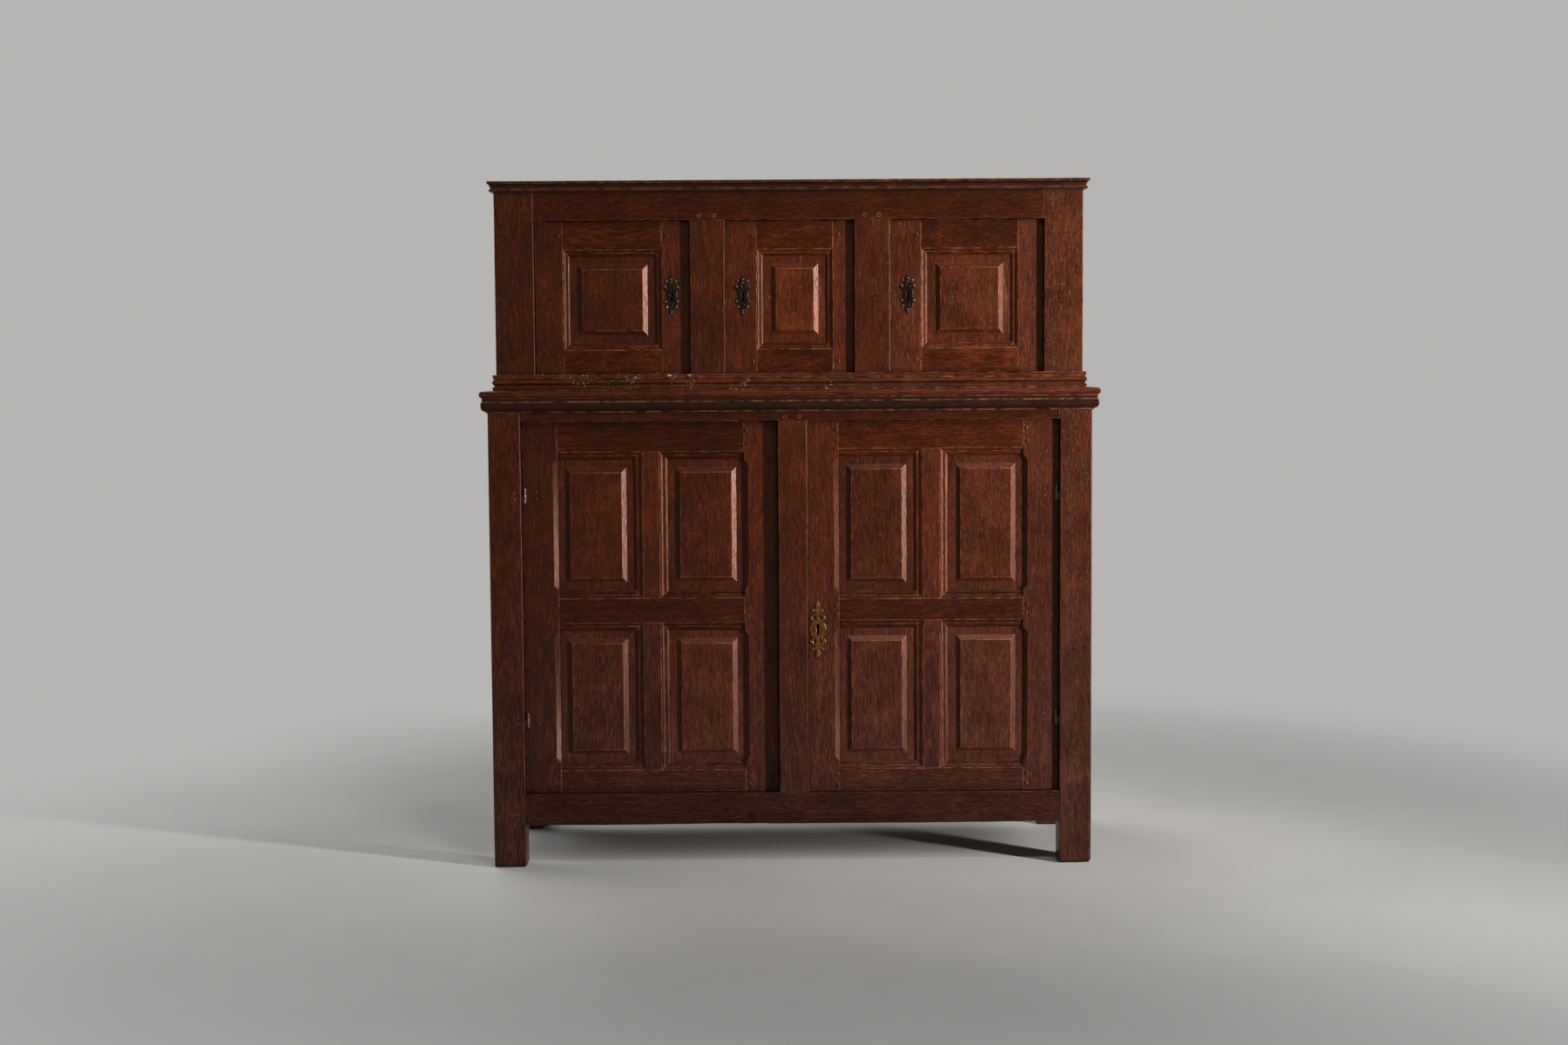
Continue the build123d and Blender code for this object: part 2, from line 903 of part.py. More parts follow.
with BuildPart() as roof:
    joint = (upper.front + rear) / 2
    for ys in ((upper.front, joint - board_gap / 2), (joint + board_gap / 2, rear)):
        block((-upper.half_width, upper.half_width), ys, (upper.top, whole_height))
roof.part.label = "roof_boards"
export_step(roof.part, "parts/roof_boards.step")

with BuildPart() as partitions:
    for span in stage_muntins["upper"]:
        middle = (span[0] + span[1]) / 2
        xs = grown((middle, middle), partition / 2)
        block(xs, (upper.back_of_frame, rear - back_board), (upper.floor, upper.top))
        block(
            xs,
            (upper.back_of_frame - partition_tongue, upper.back_of_frame),
            grown(upper.opening, -mortise_slack),
        )
    for rail in (upper.sill, upper.head):
        block(
            (-upper.reveal, upper.reveal),
            grown(back_rail_span, round_play),
            grown(rail, round_play),
            mode=Mode.SUBTRACT,
        )
partitions.part.label = "partitions"
export_step(partitions.part, "parts/partitions.step")

with BuildPart() as frame_pegs:
    for stage in (lower, upper):
        add(stage_pegs[stage.name])
frame_pegs.part.label = "frame_pegs"
export_step(frame_pegs.part, "parts/frame_pegs.step")

# Small blocks nailed to the floors, that each door closes against.
with BuildPart() as door_stops:
    for door in doors:
        x = door.lock_edge + door.hinge_side * stop_width
        block(
            (x, x + door.hinge_side * stop_width),
            (door.back + stop_gap, door.back + stop_gap + stop_depth),
            (door.stage.floor, door.stage.floor + stop_height),
        )
door_stops.part.label = "door_stops"
export_step(door_stops.part, "parts/door_stops.step")


# ================================================================ planted mouldings
# Each section is drawn with X out from the face that it is planted on and Y up. Its members are
# fractions of its height and of its reach, so that it keeps its profile at any size.
height, reach = top_cornice_height, top_cornice_reach
with BuildSketch() as top_section:
    with BuildLine():
        Polyline((0, height), (0, 0), (reach * 0.58, 0))
        ThreePointArc(
            (reach * 0.58, 0), (reach * 0.74, height * 0.1), (reach * 0.58, height * 0.2)
        )
        Line((reach * 0.58, height * 0.2), (reach * 0.5, height * 0.24))
        ThreePointArc(
            (reach * 0.5, height * 0.24),
            (reach * 0.6, height * 0.56),
            (reach * 0.9, height * 0.74),
        )
        Polyline((reach * 0.9, height * 0.74), (reach, height * 0.78), (reach, height))
        Line((reach, height), (0, height))
    make_face()

height, reach = middle_cornice_height, middle_cornice_reach
with BuildSketch() as middle_section:
    with BuildLine():
        Polyline((0, height), (0, 0), (reach * 0.24, 0), (reach * 0.24, height * 0.09))
        ThreePointArc(
            (reach * 0.24, height * 0.09),
            (reach * 0.76, height * 0.18),
            (reach, height * 0.44),
        )
        Polyline((reach, height * 0.44), (reach, height * 0.7), (reach * 0.82, height * 0.74))
        Polyline((reach * 0.82, height * 0.74), (reach * 0.82, height), (0, height))
    make_face()

height, reach = upper_sill, waist_reach
with BuildSketch() as waist_section:
    with BuildLine():
        Polyline((0, height), (0, 0), (reach * 0.8, 0), (reach * 0.8, height * 0.08))
        ThreePointArc(
            (reach * 0.8, height * 0.08),
            (reach * 0.96, height * 0.16),
            (reach * 0.8, height * 0.24),
        )
        ThreePointArc(
            (reach * 0.8, height * 0.24),
            (reach * 0.5, height * 0.31),
            (reach * 0.62, height * 0.38),
        )
        ThreePointArc(
            (reach * 0.62, height * 0.38), (reach, height * 0.53), (reach * 0.62, height * 0.68)
        )
        Polyline((reach * 0.62, height * 0.68), (reach * 0.5, height * 0.72))
        Polyline((reach * 0.5, height * 0.72), (reach * 0.84, height * 0.78))
        Polyline((reach * 0.84, height * 0.78), (reach * 0.84, height), (0, height))
    make_face()


def planted(section, stage, level):
    """A moulding round the front and the sides of a stage, in three lengths mitred at the front
    corners."""
    spare = 2 * nose
    half = stage.half_width
    lengths = []
    with BuildPart() as front_length:
        with BuildSketch(Plane((0, stage.front, level), x_dir=(0, -1, 0), z_dir=(-1, 0, 0))):
            add(section)
        extrude(amount=half + spare, both=True)
        for side in (-1, 1):
            mitre = Plane((side * half, stage.front, 0), x_dir=(0, 0, 1), z_dir=(side, 1, 0))
            split(bisect_by=mitre.offset(-hairline / 2), keep=Keep.BOTTOM)
    lengths.append(front_length.part)
    for side in (-1, 1):
        start = Plane(
            (side * half, stage.front - spare, level), x_dir=(side, 0, 0), z_dir=(0, -side, 0)
        )
        with BuildPart() as side_length:
            with BuildSketch(start):
                add(section)
            extrude(amount=-side * (rear - stage.front + spare))
            mitre = Plane((side * half, stage.front, 0), x_dir=(0, 0, 1), z_dir=(side, 1, 0))
            split(bisect_by=mitre.offset(hairline / 2), keep=Keep.TOP)
        lengths.append(side_length.part)
    return lengths


mouldings = {
    "top_cornice": (top_section.sketch, upper, whole_height - top_cornice_height),
    "middle_cornice": (middle_section.sketch, lower, lower.top - middle_cornice_height),
    "waist_moulding": (waist_section.sketch, upper, upper.foot),
}
for name, (section, stage, level) in mouldings.items():
    with BuildPart() as moulding:
        for length in planted(section, stage, level):
            add(length)
    moulding.part.label = name
    export_step(moulding.part, f"parts/{name}.step")


# ================================================================ door joinery
def moulded(door, column):
    """Widths of the moulding at the left and the right of a column of panels."""
    left_stile, right_stile = door.stile_edges
    left = 0.0 if column[0] == left_stile and not door.moulded_stiles else door.moulding
    right = 0.0 if column[1] == right_stile and not door.moulded_stiles else door.moulding
    return left, right


def sight(door, column, row):
    """Ranges of a panel's visible opening, inside the mouldings."""
    left, right = moulded(door, column)
    return (column[0] + left, column[1] - right), grown(row, -door.moulding)


def cross_strips(door, column, row):
    """Outlines of the moulded edges that the rails have below and above a panel."""
    (x0, x1), (z0, z1) = sight(door, column, row)
    return [
        [(column[0], row[0]), (column[1], row[0]), (x1, z0), (x0, z0)],
        [(column[0], row[1]), (column[1], row[1]), (x1, z1), (x0, z1)],
    ]


def upright_strips(door, column, row):
    """Outlines of the moulded edges that stiles or muntins have beside a panel."""
    (x0, x1), (z0, z1) = sight(door, column, row)
    left, right = moulded(door, column)
    strips = []
    if left:
        strips.append([(column[0], row[0]), (x0, z0), (x0, z1), (column[0], row[1])])
    if right:
        strips.append([(column[1], row[0]), (x1, z0), (x1, z1), (column[1], row[1])])
    return strips


def sticking(door, column, row):
    """What the moulding planes take off round one panel, mitred at the corners. On a door with
    plain stiles the moulding stops against them."""
    (x0, x1), (z0, z1) = column, row
    left, right = moulded(door, column)
    if left and right:
        path = [((x0 + x1) / 2, z0), (x1, z0), (x1, z1), (x0, z1), (x0, z0)]
    elif right:
        path = [(x0, z0), (x1, z0), (x1, z1), (x0, z1)]
    else:
        path = [(x1, z0), (x0, z0), (x0, z1), (x1, z1)]
    heading = 1 if path[1][0] > path[0][0] else -1
    start = Vector(path[0][0], door.front, path[0][1])
    wide = door.moulding
    deep = -heading * moulding_depth
    with BuildPart() as cut:
        with BuildLine():
            Polyline(*[(x, door.front, z) for x, z in path], close=bool(left and right))
        with BuildSketch(Plane(start, x_dir=(0, 0, 1), z_dir=(heading, 0, 0))):
            # From the flat: a quirk, a large ovolo, a fillet and a smaller ovolo at the panel.
            with BuildLine():
                Polyline((wide, deep), (wide, -deep), (0, -deep), (0, 0.2 * deep))
                ThreePointArc(
                    (0, 0.2 * deep), (0.26 * wide, 0.28 * deep), (0.4 * wide, 0.55 * deep)
                )
                Line((0.4 * wide, 0.55 * deep), (0.55 * wide, 0.55 * deep))
                ThreePointArc(
                    (0.55 * wide, 0.55 * deep), (0.86 * wide, 0.68 * deep), (wide, deep)
                )
            make_face()
        sweep(transition=Transition.RIGHT)
    return cut.part


def stopped_chamfer(edge, into, front, span):
    """What a chamfer takes off the arris of a stile, ending in a point at each stop."""
    low, high = span
    corner = (edge, front)
    with BuildPart() as cut:
        with BuildSketch(Plane.XY.offset(low + chamfer_point)):
            with BuildLine():
                Polyline(
                    corner,
                    (edge + into * chamfer_width, front),
                    (edge, front + chamfer_depth),
                    close=True,
                )
            make_face()
        extrude(amount=high - low - 2 * chamfer_point)
        ends = cut.faces().sort_by(Axis.Z)
        loft([ends[0], Vertex(*corner, low)])
        loft([ends[-1], Vertex(*corner, high)])
    return cut.part


def door_tenon_ranges(door, edge, outward, rail, slack=0.0):
    """Tenon of a door rail in its stile."""
    return (
        (edge, edge + outward * (door_tenon_length + slack)),
        (door.front + door_tenon_setback, door.front + door_tenon_setback + door_tenon),
        grown(rail, -tenon_shoulder),
    )


def muntin_stub(door, level, upward, slack=0.0):
    """Stub tenon of a door's muntin in a rail."""
    return (
        grown((door.columns[0][1], door.columns[1][0]), -tenon_shoulder),
        (door.front + door_tenon_setback, door.front + door_tenon_setback + door_tenon),
        (level, level + upward * (door_tenon_length / 3 + slack)),
    )


def panel_grooves(door):
    """Grooves round every panel of a door."""
    margin = door.front + moulding_depth
    for column in door.columns:
        for row in door.rows:
            xs, zs = sight(door, column, row)
            deep = panel_housing + panel_play
            block(
                grown(xs, deep), (margin, margin + panel_tongue), grown(zs, deep), Mode.SUBTRACT
            )


def lock_pocket(door):
    """Ranges of a lock case, let into the back of the stile."""
    front = door.back - lock_sunk
    return (
        (door.lock_edge, door.lock_edge + door.hinge_side * lock_length),
        (front, front + lock_thickness),
        grown((door.lock_level, door.lock_level), lock_height / 2),
    )


def barrel(door, bottom, height, radius, mode=Mode.ADD):
    """Upright cylinder on a door's hinge axis."""
    with Locations((*door.pin, bottom)):
        Cylinder(radius, height, align=(Align.CENTER, Align.CENTER, Align.MIN), mode=mode)


# ---------------------------------------------------------------- escutcheon plates
@dataclass
class Plate:
    """Sizes of a pierced lock plate, drawn about its keyhole."""

    width: float
    height: float
    body_width: float
    body_height: float
    lobe_radius: float
    lobe_out: float
    lobe_up: float
    leaf: float
    stalk: float


large_plate = Plate(
    width=40.0,
    height=141.0,
    body_width=38.0,
    body_height=46.0,
    lobe_radius=9.5,
    lobe_out=9.5,
    lobe_up=27.0,
    leaf=24.0,
    stalk=7.0,
)
small_plate = Plate(
    width=38.0,
    height=92.0,
    body_width=25.0,
    body_height=40.0,
    lobe_radius=6.5,
    lobe_out=11.5,
    lobe_up=15.0,
    leaf=20.0,
    stalk=7.0,
)
side_leaf_lean = 52.0  # degrees from the middle leaf
leaf_belly = 0.45  # where a leaf is widest, along its length


def leaf(foot, length, width, angle, curved=False):
    """A pointed leaf at an angle from upright, between two arcs or filed with straight sides."""
    tip, bellies = (0, length), [(side * width / 2, length * leaf_belly) for side in (1, -1)]
    with BuildSketch() as shape:
        with BuildLine():
            if curved:
                ThreePointArc((0, 0), bellies[0], tip)
                ThreePointArc(tip, bellies[1], (0, 0))
            else:
                Polyline((0, 0), bellies[0], tip, bellies[1], close=True)
        make_face()
    return Pos(*foot) * Rot(0, 0, -angle) * shape.sketch


def plate_outline(plate):
    """Cartouche with four pierced lobes, and a spray of three leaves at either end."""
    tip = plate.height / 2
    with BuildSketch() as shape:
        Ellipse(plate.body_width / 2, plate.body_height / 2)
        for way in (-1, 1):
            for side in (-1, 1):
                with Locations((side * plate.lobe_out, way * plate.lobe_up)):
                    Circle(plate.lobe_radius)
            spray = plate.lobe_up + plate.lobe_radius * 0.6
            with Locations((0, way * (plate.lobe_up + spray) / 2)):
                Rectangle(plate.lobe_radius, spray - plate.lobe_up + plate.lobe_radius)
            upright = 90 - way * 90
            middle_leaf = (plate.leaf, plate.leaf * 0.5)
            add(leaf((0, way * (tip - plate.leaf)), *middle_leaf, upright, curved=True))
            add(leaf((0, way * spray), tip - plate.leaf * 0.8 - spray, plate.stalk, upright))
            for side in (-1, 1):
                lean = upright + way * side * side_leaf_lean
                add(leaf((0, way * spray), plate.width * 0.46, plate.width * 0.16, lean))
                with Locations((side * plate.lobe_out * 0.75, way * plate.lobe_up)):
                    RegularPolygon(plate.lobe_radius * 0.42, 6, mode=Mode.SUBTRACT)
    return shape.sketch


# ================================================================ the doors
for door in doors:
    left_edge, right_edge = door.stile_edges
    has_muntin = len(door.columns) > 1
    moulding_cuts = [sticking(door, column, row) for column in door.columns for row in door.rows]

    with BuildPart() as uprights:
        block((door.span[0], left_edge), (door.front, door.back), door.height)
        block((right_edge, door.span[1]), (door.front, door.back), door.height)
        for row in door.rows:
            if has_muntin:
                muntin = (door.columns[0][1], door.columns[1][0])
                block(muntin, (door.front, door.back), row)
                for level, upward in ((row[0], -1), (row[1], 1)):
                    block(*muntin_stub(door, level, upward))
            for column in door.columns:
                for strip in upright_strips(door, column, row):
                    add(outline(strip, door.front, door_thickness))
            if not door.moulded_stiles:
                for edge, into in ((left_edge, -1), (right_edge, 1)):
                    stops = grown(row, -door.moulding)
                    add(stopped_chamfer(edge, into, door.front, stops), mode=Mode.SUBTRACT)
        add(moulding_cuts, mode=Mode.SUBTRACT)
        panel_grooves(door)
        for rail in door.rails:
            for edge, outward in ((left_edge, -1), (right_edge, 1)):
                tenon = door_tenon_ranges(door, edge, outward, rail, mortise_slack)
                block(*tenon, mode=Mode.SUBTRACT)
        for level in door.hinge_levels:
            notch = barrel_height + 2 * barrel_room
            barrel(door, level - notch / 2, notch, barrel_radius + barrel_room, Mode.SUBTRACT)
            block(*door_leaf(door, level), mode=Mode.SUBTRACT)
        for end in door.pivot_ends:
            block(*socket_ranges(door, *end), mode=Mode.SUBTRACT)
        if door.lock_level:
            block(*lock_pocket(door), mode=Mode.SUBTRACT)
            keyhole_slot(door, (door.front, door.back - lock_sunk))
        else:
            pivot = door.lock_edge + door.hinge_side * button_inset
            with Locations(door_face(pivot, door.back, button_level)):
                Cylinder(
                    button_pin + button_play,
                    button_pin_depth + mortise_slack,
                    align=(Align.CENTER, Align.CENTER, Align.MIN),
                    mode=Mode.SUBTRACT,
                )
    name = f"{door.name}_{'uprights' if has_muntin else 'stiles'}"
    uprights.part.label = name
    export_step(uprights.part, f"parts/{name}.step")

    with BuildPart() as rails:
        for rail in door.rails:
            block((left_edge, right_edge), (door.front, door.back), rail)
            for edge, outward in ((left_edge, -1), (right_edge, 1)):
                block(*door_tenon_ranges(door, edge, outward, rail))
        for row in door.rows:
            for column in door.columns:
                for strip in cross_strips(door, column, row):
                    add(outline(strip, door.front, door_thickness))
            if has_muntin:
                for level, upward in ((row[0], -1), (row[1], 1)):
                    block(*muntin_stub(door, level, upward, mortise_slack), mode=Mode.SUBTRACT)
        add(moulding_cuts, mode=Mode.SUBTRACT)
        panel_grooves(door)
    rails.part.label = f"{door.name}_rails"
    export_step(rails.part, f"parts/{door.name}_rails.step")

    with BuildPart() as panels:
        for column in door.columns:
            for row in door.rows:
                (x0, x1), (z0, z1) = sight(door, column, row)
                face = door_face((x0 + x1) / 2, door.front + moulding_depth, (z0 + z1) / 2)
                add(raised_panel(face, x1 - x0, z1 - z0))
    name = f"{door.name}_{'panels' if has_muntin else 'panel'}"
    panels.part.label = name
    export_step(panels.part, f"parts/{name}.step")

    half_barrel = (barrel_height - barrel_split) / 2
    with BuildPart() as hinges:
        for level in door.hinge_levels:
            bottom = level + barrel_split / 2
            barrel(door, bottom, half_barrel, barrel_radius)
            block(*door_leaf(door, level))
            barrel(door, bottom, half_barrel, pin_radius + pin_play, Mode.SUBTRACT)
        for face, inward in door.pivot_ends:
            plate = socket_ranges(door, face, inward)
            block(*plate)
            barrel(door, min(plate[2]), socket_height, pivot_radius + pivot_play, Mode.SUBTRACT)
    hinges.part.label = f"{door.name}_hinges"
    export_step(hinges.part, f"parts/{door.name}_hinges.step")

with BuildPart() as hinge_pins:
    for door in doors:
        for level in door.hinge_levels:
            barrel(door, level - barrel_height / 2, half_barrel, barrel_radius)
            barrel(door, level - half_barrel / 2, half_barrel * 1.5 + barrel_split / 2, pin_radius)
            block(*post_leaf(door, level))
        for face, inward in door.pivot_ends:
            block(*pivot_shank_ranges(door, face, inward))
            length = door_gap + pivot_reach
            barrel(door, min(face, face + inward * length), length, pivot_radius)
hinge_pins.part.label = "frame_hinges_and_pins"
export_step(hinge_pins.part, "parts/frame_hinges_and_pins.step")

# ================================================================ locks
for door in locked_doors:
    bolt_xs, bolt_ys, bolt_zs = bolt_ranges(door)
    case_xs, case_ys, case_zs = lock_pocket(door)

    with BuildPart() as lock_case:
        block(case_xs, case_ys, case_zs)
        channel_end = bolt_xs[1] + door.hinge_side * bolt_play
        block(
            (door.lock_edge, channel_end),
            grown(bolt_ys, bolt_play),
            grown(bolt_zs, bolt_play),
            mode=Mode.SUBTRACT,
        )
        keyhole_slot(door, (case_ys[0], min(bolt_ys)))
    lock_case.part.label = f"{door.name}_lock_case"
    export_step(lock_case.part, f"parts/{door.name}_lock_case.step")

    with BuildPart() as bolt:
        block(bolt_xs, bolt_ys, bolt_zs)
    bolt.part.label = f"{door.name}_lock_bolt"
    export_step(bolt.part, f"parts/{door.name}_lock_bolt.step")

    plate = large_plate if door.stage is lower else small_plate
    key_x = door.lock_edge + door.hinge_side * door.backset
    with BuildPart() as escutcheon:
        with BuildSketch(door_face(key_x, door.front, door.lock_level)):
            add(plate_outline(plate))
        extrude(amount=plate_thickness)
        keyhole_slot(door, (door.front - plate_thickness, door.front))
    escutcheon.part.label = f"{door.name}_escutcheon"
    export_step(escutcheon.part, f"parts/{door.name}_escutcheon.step")

# ================================================================ turn button of the other door
pivot = lower_left.lock_edge + lower_left.hinge_side * button_inset
button_front = lower_left.back + button_stand
with BuildPart() as turn_button:
    block(
        grown((pivot, pivot), button_width / 2),
        (button_front, button_front + button_thickness),
        (button_level - button_reach, button_level + button_tail),
    )
    fillet(turn_button.edges().filter_by(Axis.Y), button_width / 4)
    with Locations(door_face(pivot, button_front, button_level)):
        Cylinder(
            button_boss,
            button_stand - button_clear,
            align=(Align.CENTER, Align.CENTER, Align.MIN),
        )
        Cylinder(
            button_pin,
            button_stand + button_pin_depth,
            align=(Align.CENTER, Align.CENTER, Align.MIN),
        )
turn_button.part.label = "lower_left_door_turn_button"
export_step(turn_button.part, "parts/lower_left_door_turn_button.step")
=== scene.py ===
"""Looks of an oak court cupboard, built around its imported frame. Lengths are in metres."""

import json
import math
import random

import bmesh
import bpy
from mathutils import Euler, Matrix, Vector, noise


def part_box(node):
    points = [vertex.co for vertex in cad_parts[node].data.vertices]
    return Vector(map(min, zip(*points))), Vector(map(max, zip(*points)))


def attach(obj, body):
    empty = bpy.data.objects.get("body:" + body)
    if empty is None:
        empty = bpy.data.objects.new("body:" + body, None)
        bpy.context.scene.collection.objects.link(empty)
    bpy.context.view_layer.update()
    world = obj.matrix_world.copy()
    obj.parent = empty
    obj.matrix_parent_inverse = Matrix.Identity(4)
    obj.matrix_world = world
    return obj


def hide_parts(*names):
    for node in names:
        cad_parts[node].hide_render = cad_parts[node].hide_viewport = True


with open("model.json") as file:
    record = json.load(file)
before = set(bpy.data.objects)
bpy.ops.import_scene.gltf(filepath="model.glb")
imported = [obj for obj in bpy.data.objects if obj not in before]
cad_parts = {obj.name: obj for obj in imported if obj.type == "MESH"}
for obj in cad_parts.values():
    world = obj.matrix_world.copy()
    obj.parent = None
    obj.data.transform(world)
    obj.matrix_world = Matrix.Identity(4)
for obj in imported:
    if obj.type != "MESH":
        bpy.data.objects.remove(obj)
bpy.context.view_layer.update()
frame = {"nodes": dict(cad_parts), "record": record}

MM = 0.001
WELD = 0.01 * MM  # points of the frame nearer than this are one
ARRIS_ANGLE = math.radians(38)  # a surface that turns by more has an arris there
SHORTEST_ARRIS = 14 * MM  # shorter ones stay sharp
FLAT_ANGLE = math.radians(0.6)  # faces that turn by less are one
SMOOTH_ANGLE = math.radians(30)  # edges that turn by less are shaded smooth
nodes = frame["nodes"]
bodies = frame["record"]["behaviour"]["bodies"]
body_of_node = {node: body for body, members in bodies.items() for node in members}
DOORS = (
    "upper_left_door",
    "upper_middle_door",
    "upper_right_door",
    "lower_left_door",
    "lower_right_door",
)
LOCKED = [door for door in DOORS if door + "_escutcheon" in nodes]


def link(obj):
    bpy.context.scene.collection.objects.link(obj)


# ---------------------------------------------------------------- shader helper
class Shader:
    """One material and short ways to add nodes to it."""

    def __init__(self, name):
        self.material = bpy.data.materials.new(name)
        self.material.use_nodes = True
        self.tree = self.material.node_tree
        self.bsdf = self.tree.nodes["Principled BSDF"]

    def feed(self, socket, value):
        if isinstance(value, bpy.types.NodeSocket):
            self.tree.links.new(value, socket)
        else:
            socket.default_value = value

    def node(self, kind, values=(), **settings):
        node = self.tree.nodes.new(kind)
        for key, value in settings.items():
            setattr(node, key, value)
        for key, value in dict(values).items():
            self.feed(node.inputs[key], value)
        return node

    def attribute(self, name):
        return self.node("ShaderNodeAttribute", attribute_name=name).outputs["Vector"]

    def where(self):
        """The place on the object as the frame has it."""
        return self.node("ShaderNodeTexCoord").outputs["Object"]

    def split(self, vector):
        return self.node("ShaderNodeSeparateXYZ", {0: vector}).outputs[:3]

    def join(self, x, y, z):
        return self.node("ShaderNodeCombineXYZ", {0: x, 1: y, 2: z}).outputs[0]

    def math(self, operation, a, b=0.0, c=0.0):
        return self.node("ShaderNodeMath", {0: a, 1: b, 2: c}, operation=operation).outputs[0]

    def vector(self, operation, a, b=(0, 0, 0)):
        node = self.node("ShaderNodeVectorMath", {0: a, 1: b}, operation=operation)
        return node.outputs["Value" if operation in ("LENGTH", "DOT_PRODUCT") else "Vector"]

    def enlarged(self, vector, factor):
        node = self.node("ShaderNodeVectorMath", {0: vector, "Scale": factor}, operation="SCALE")
        return node.outputs["Vector"]

    def noise(self, vector, scale=1.0, detail=2.0, roughness=0.5, distortion=0.0):
        values = {
            "Vector": vector,
            "Scale": scale,
            "Detail": detail,
            "Roughness": roughness,
            "Distortion": distortion,
        }
        return self.node("ShaderNodeTexNoise", values).outputs["Fac"]

    def step(self, value, low, high, to_low=0.0, to_high=1.0):
        """Smooth change from to_low to to_high while value goes from low to high."""
        values = {0: value, 1: low, 2: high, 3: to_low, 4: to_high}
        return self.node("ShaderNodeMapRange", values, interpolation_type="SMOOTHSTEP").outputs[0]

    def mix(self, factor, a, b, blend="MIX"):
        node = self.node("ShaderNodeMix", data_type="RGBA", blend_type=blend)
        for socket, value in ((0, factor), (6, a), (7, b)):
            self.feed(node.inputs[socket], value)
        return node.outputs[2]

    def ramp(self, value, *stops):
        node = self.node("ShaderNodeValToRGB", {0: value})
        elements = node.color_ramp.elements
        while len(elements) < len(stops):
            elements.new(0.5)
        for element, (position, colour) in zip(elements, stops):
            element.position = position
            element.color = colour
        return node.outputs[0]

    def total(self, *parts):
        value = parts[0]
        for part in parts[1:]:
            value = self.math("ADD", value, part)
        return value

    def scaled(self, value, factor, middle=0.0):
        """(value - middle) * factor"""
        return self.math("MULTIPLY_ADD", value, factor, -middle * factor)

    def flatness(self, reach):
        """1 on a flat surface, less within reach of an edge."""
        rounded = self.node("ShaderNodeBevel", {"Radius": reach}, samples=4).outputs[0]
        true = self.node("ShaderNodeNewGeometry").outputs["Normal"]
        return self.vector("DOT_PRODUCT", rounded, true)

    def bump(self, height, distance, strength=1.0):
        values = {"Height": height, "Distance": distance, "Strength": strength}
        self.feed(self.bsdf.inputs["Normal"], self.node("ShaderNodeBump", values).outputs[0])

    def finish(self, **sockets):
        for key, value in sockets.items():
            self.feed(self.bsdf.inputs[key.replace("_", " ")], value)
        return self.material


def rgb(red, green, blue):
    """An sRGB colour of 0 to 255 values, as Blender's linear one."""

    def linear(value):
        value /= 255
        return value / 12.92 if value <= 0.04045 else ((value + 0.055) / 1.055) ** 2.4

    return (linear(red), linear(green), linear(blue), 1.0)


# ---------------------------------------------------------------- wood
ALONG = {"X": (1, 2, 0), "Y": (0, 2, 1), "Z": (0, 1, 2)}  # two ways across, then the grain
WAXED = (rgb(20, 6, 2), rgb(62, 24, 8), rgb(112, 51, 20))
WAXED_PANEL = (rgb(17, 5, 2), rgb(60, 23, 7), rgb(112, 50, 16))
# Rails are darker than the uprights as painted shade, for the sheen that they catch less of.
RAIL_SHADED_TONES = (rgb(16, 5, 2), rgb(54, 20, 6), rgb(102, 46, 15))
# Cornices are darker as painted shade, for the shade on their downward faces under the overhangs.
CORNICE_SHADED_TONES = (rgb(8, 3, 2), rgb(32, 13, 5), rgb(80, 38, 16))
REDDISH = rgb(96, 38, 20)
INNER = (rgb(62, 40, 26), rgb(112, 80, 55), rgb(148, 114, 82))
# Colours of the painted shade in corners, which also stands for the dirt there; the first is also
# the dirt in scribed lines.
DIRT_AND_SHADE = rgb(9, 4, 2)
INNER_DIRT_AND_SHADE = rgb(34, 24, 17)
WORN = rgb(176, 108, 68)
LIMEWASH = rgb(176, 160, 142)
WAX_TINT = (1.0, 0.54, 0.4, 1.0)  # of the shine seen straight on
DRY_TINT = (1.0, 0.8, 0.65, 1.0)
DRY_SHINE = 0.12
RINGS_PER_MM = 0.36
GRAIN_DEPTH = 0.12 * MM
HOLLOW_REACH = 20 * MM  # how far the painted shade, with the dirt it stands for, reaches from a corner
RUB_REACH = 2.2 * MM  # how far an arris is rubbed bright


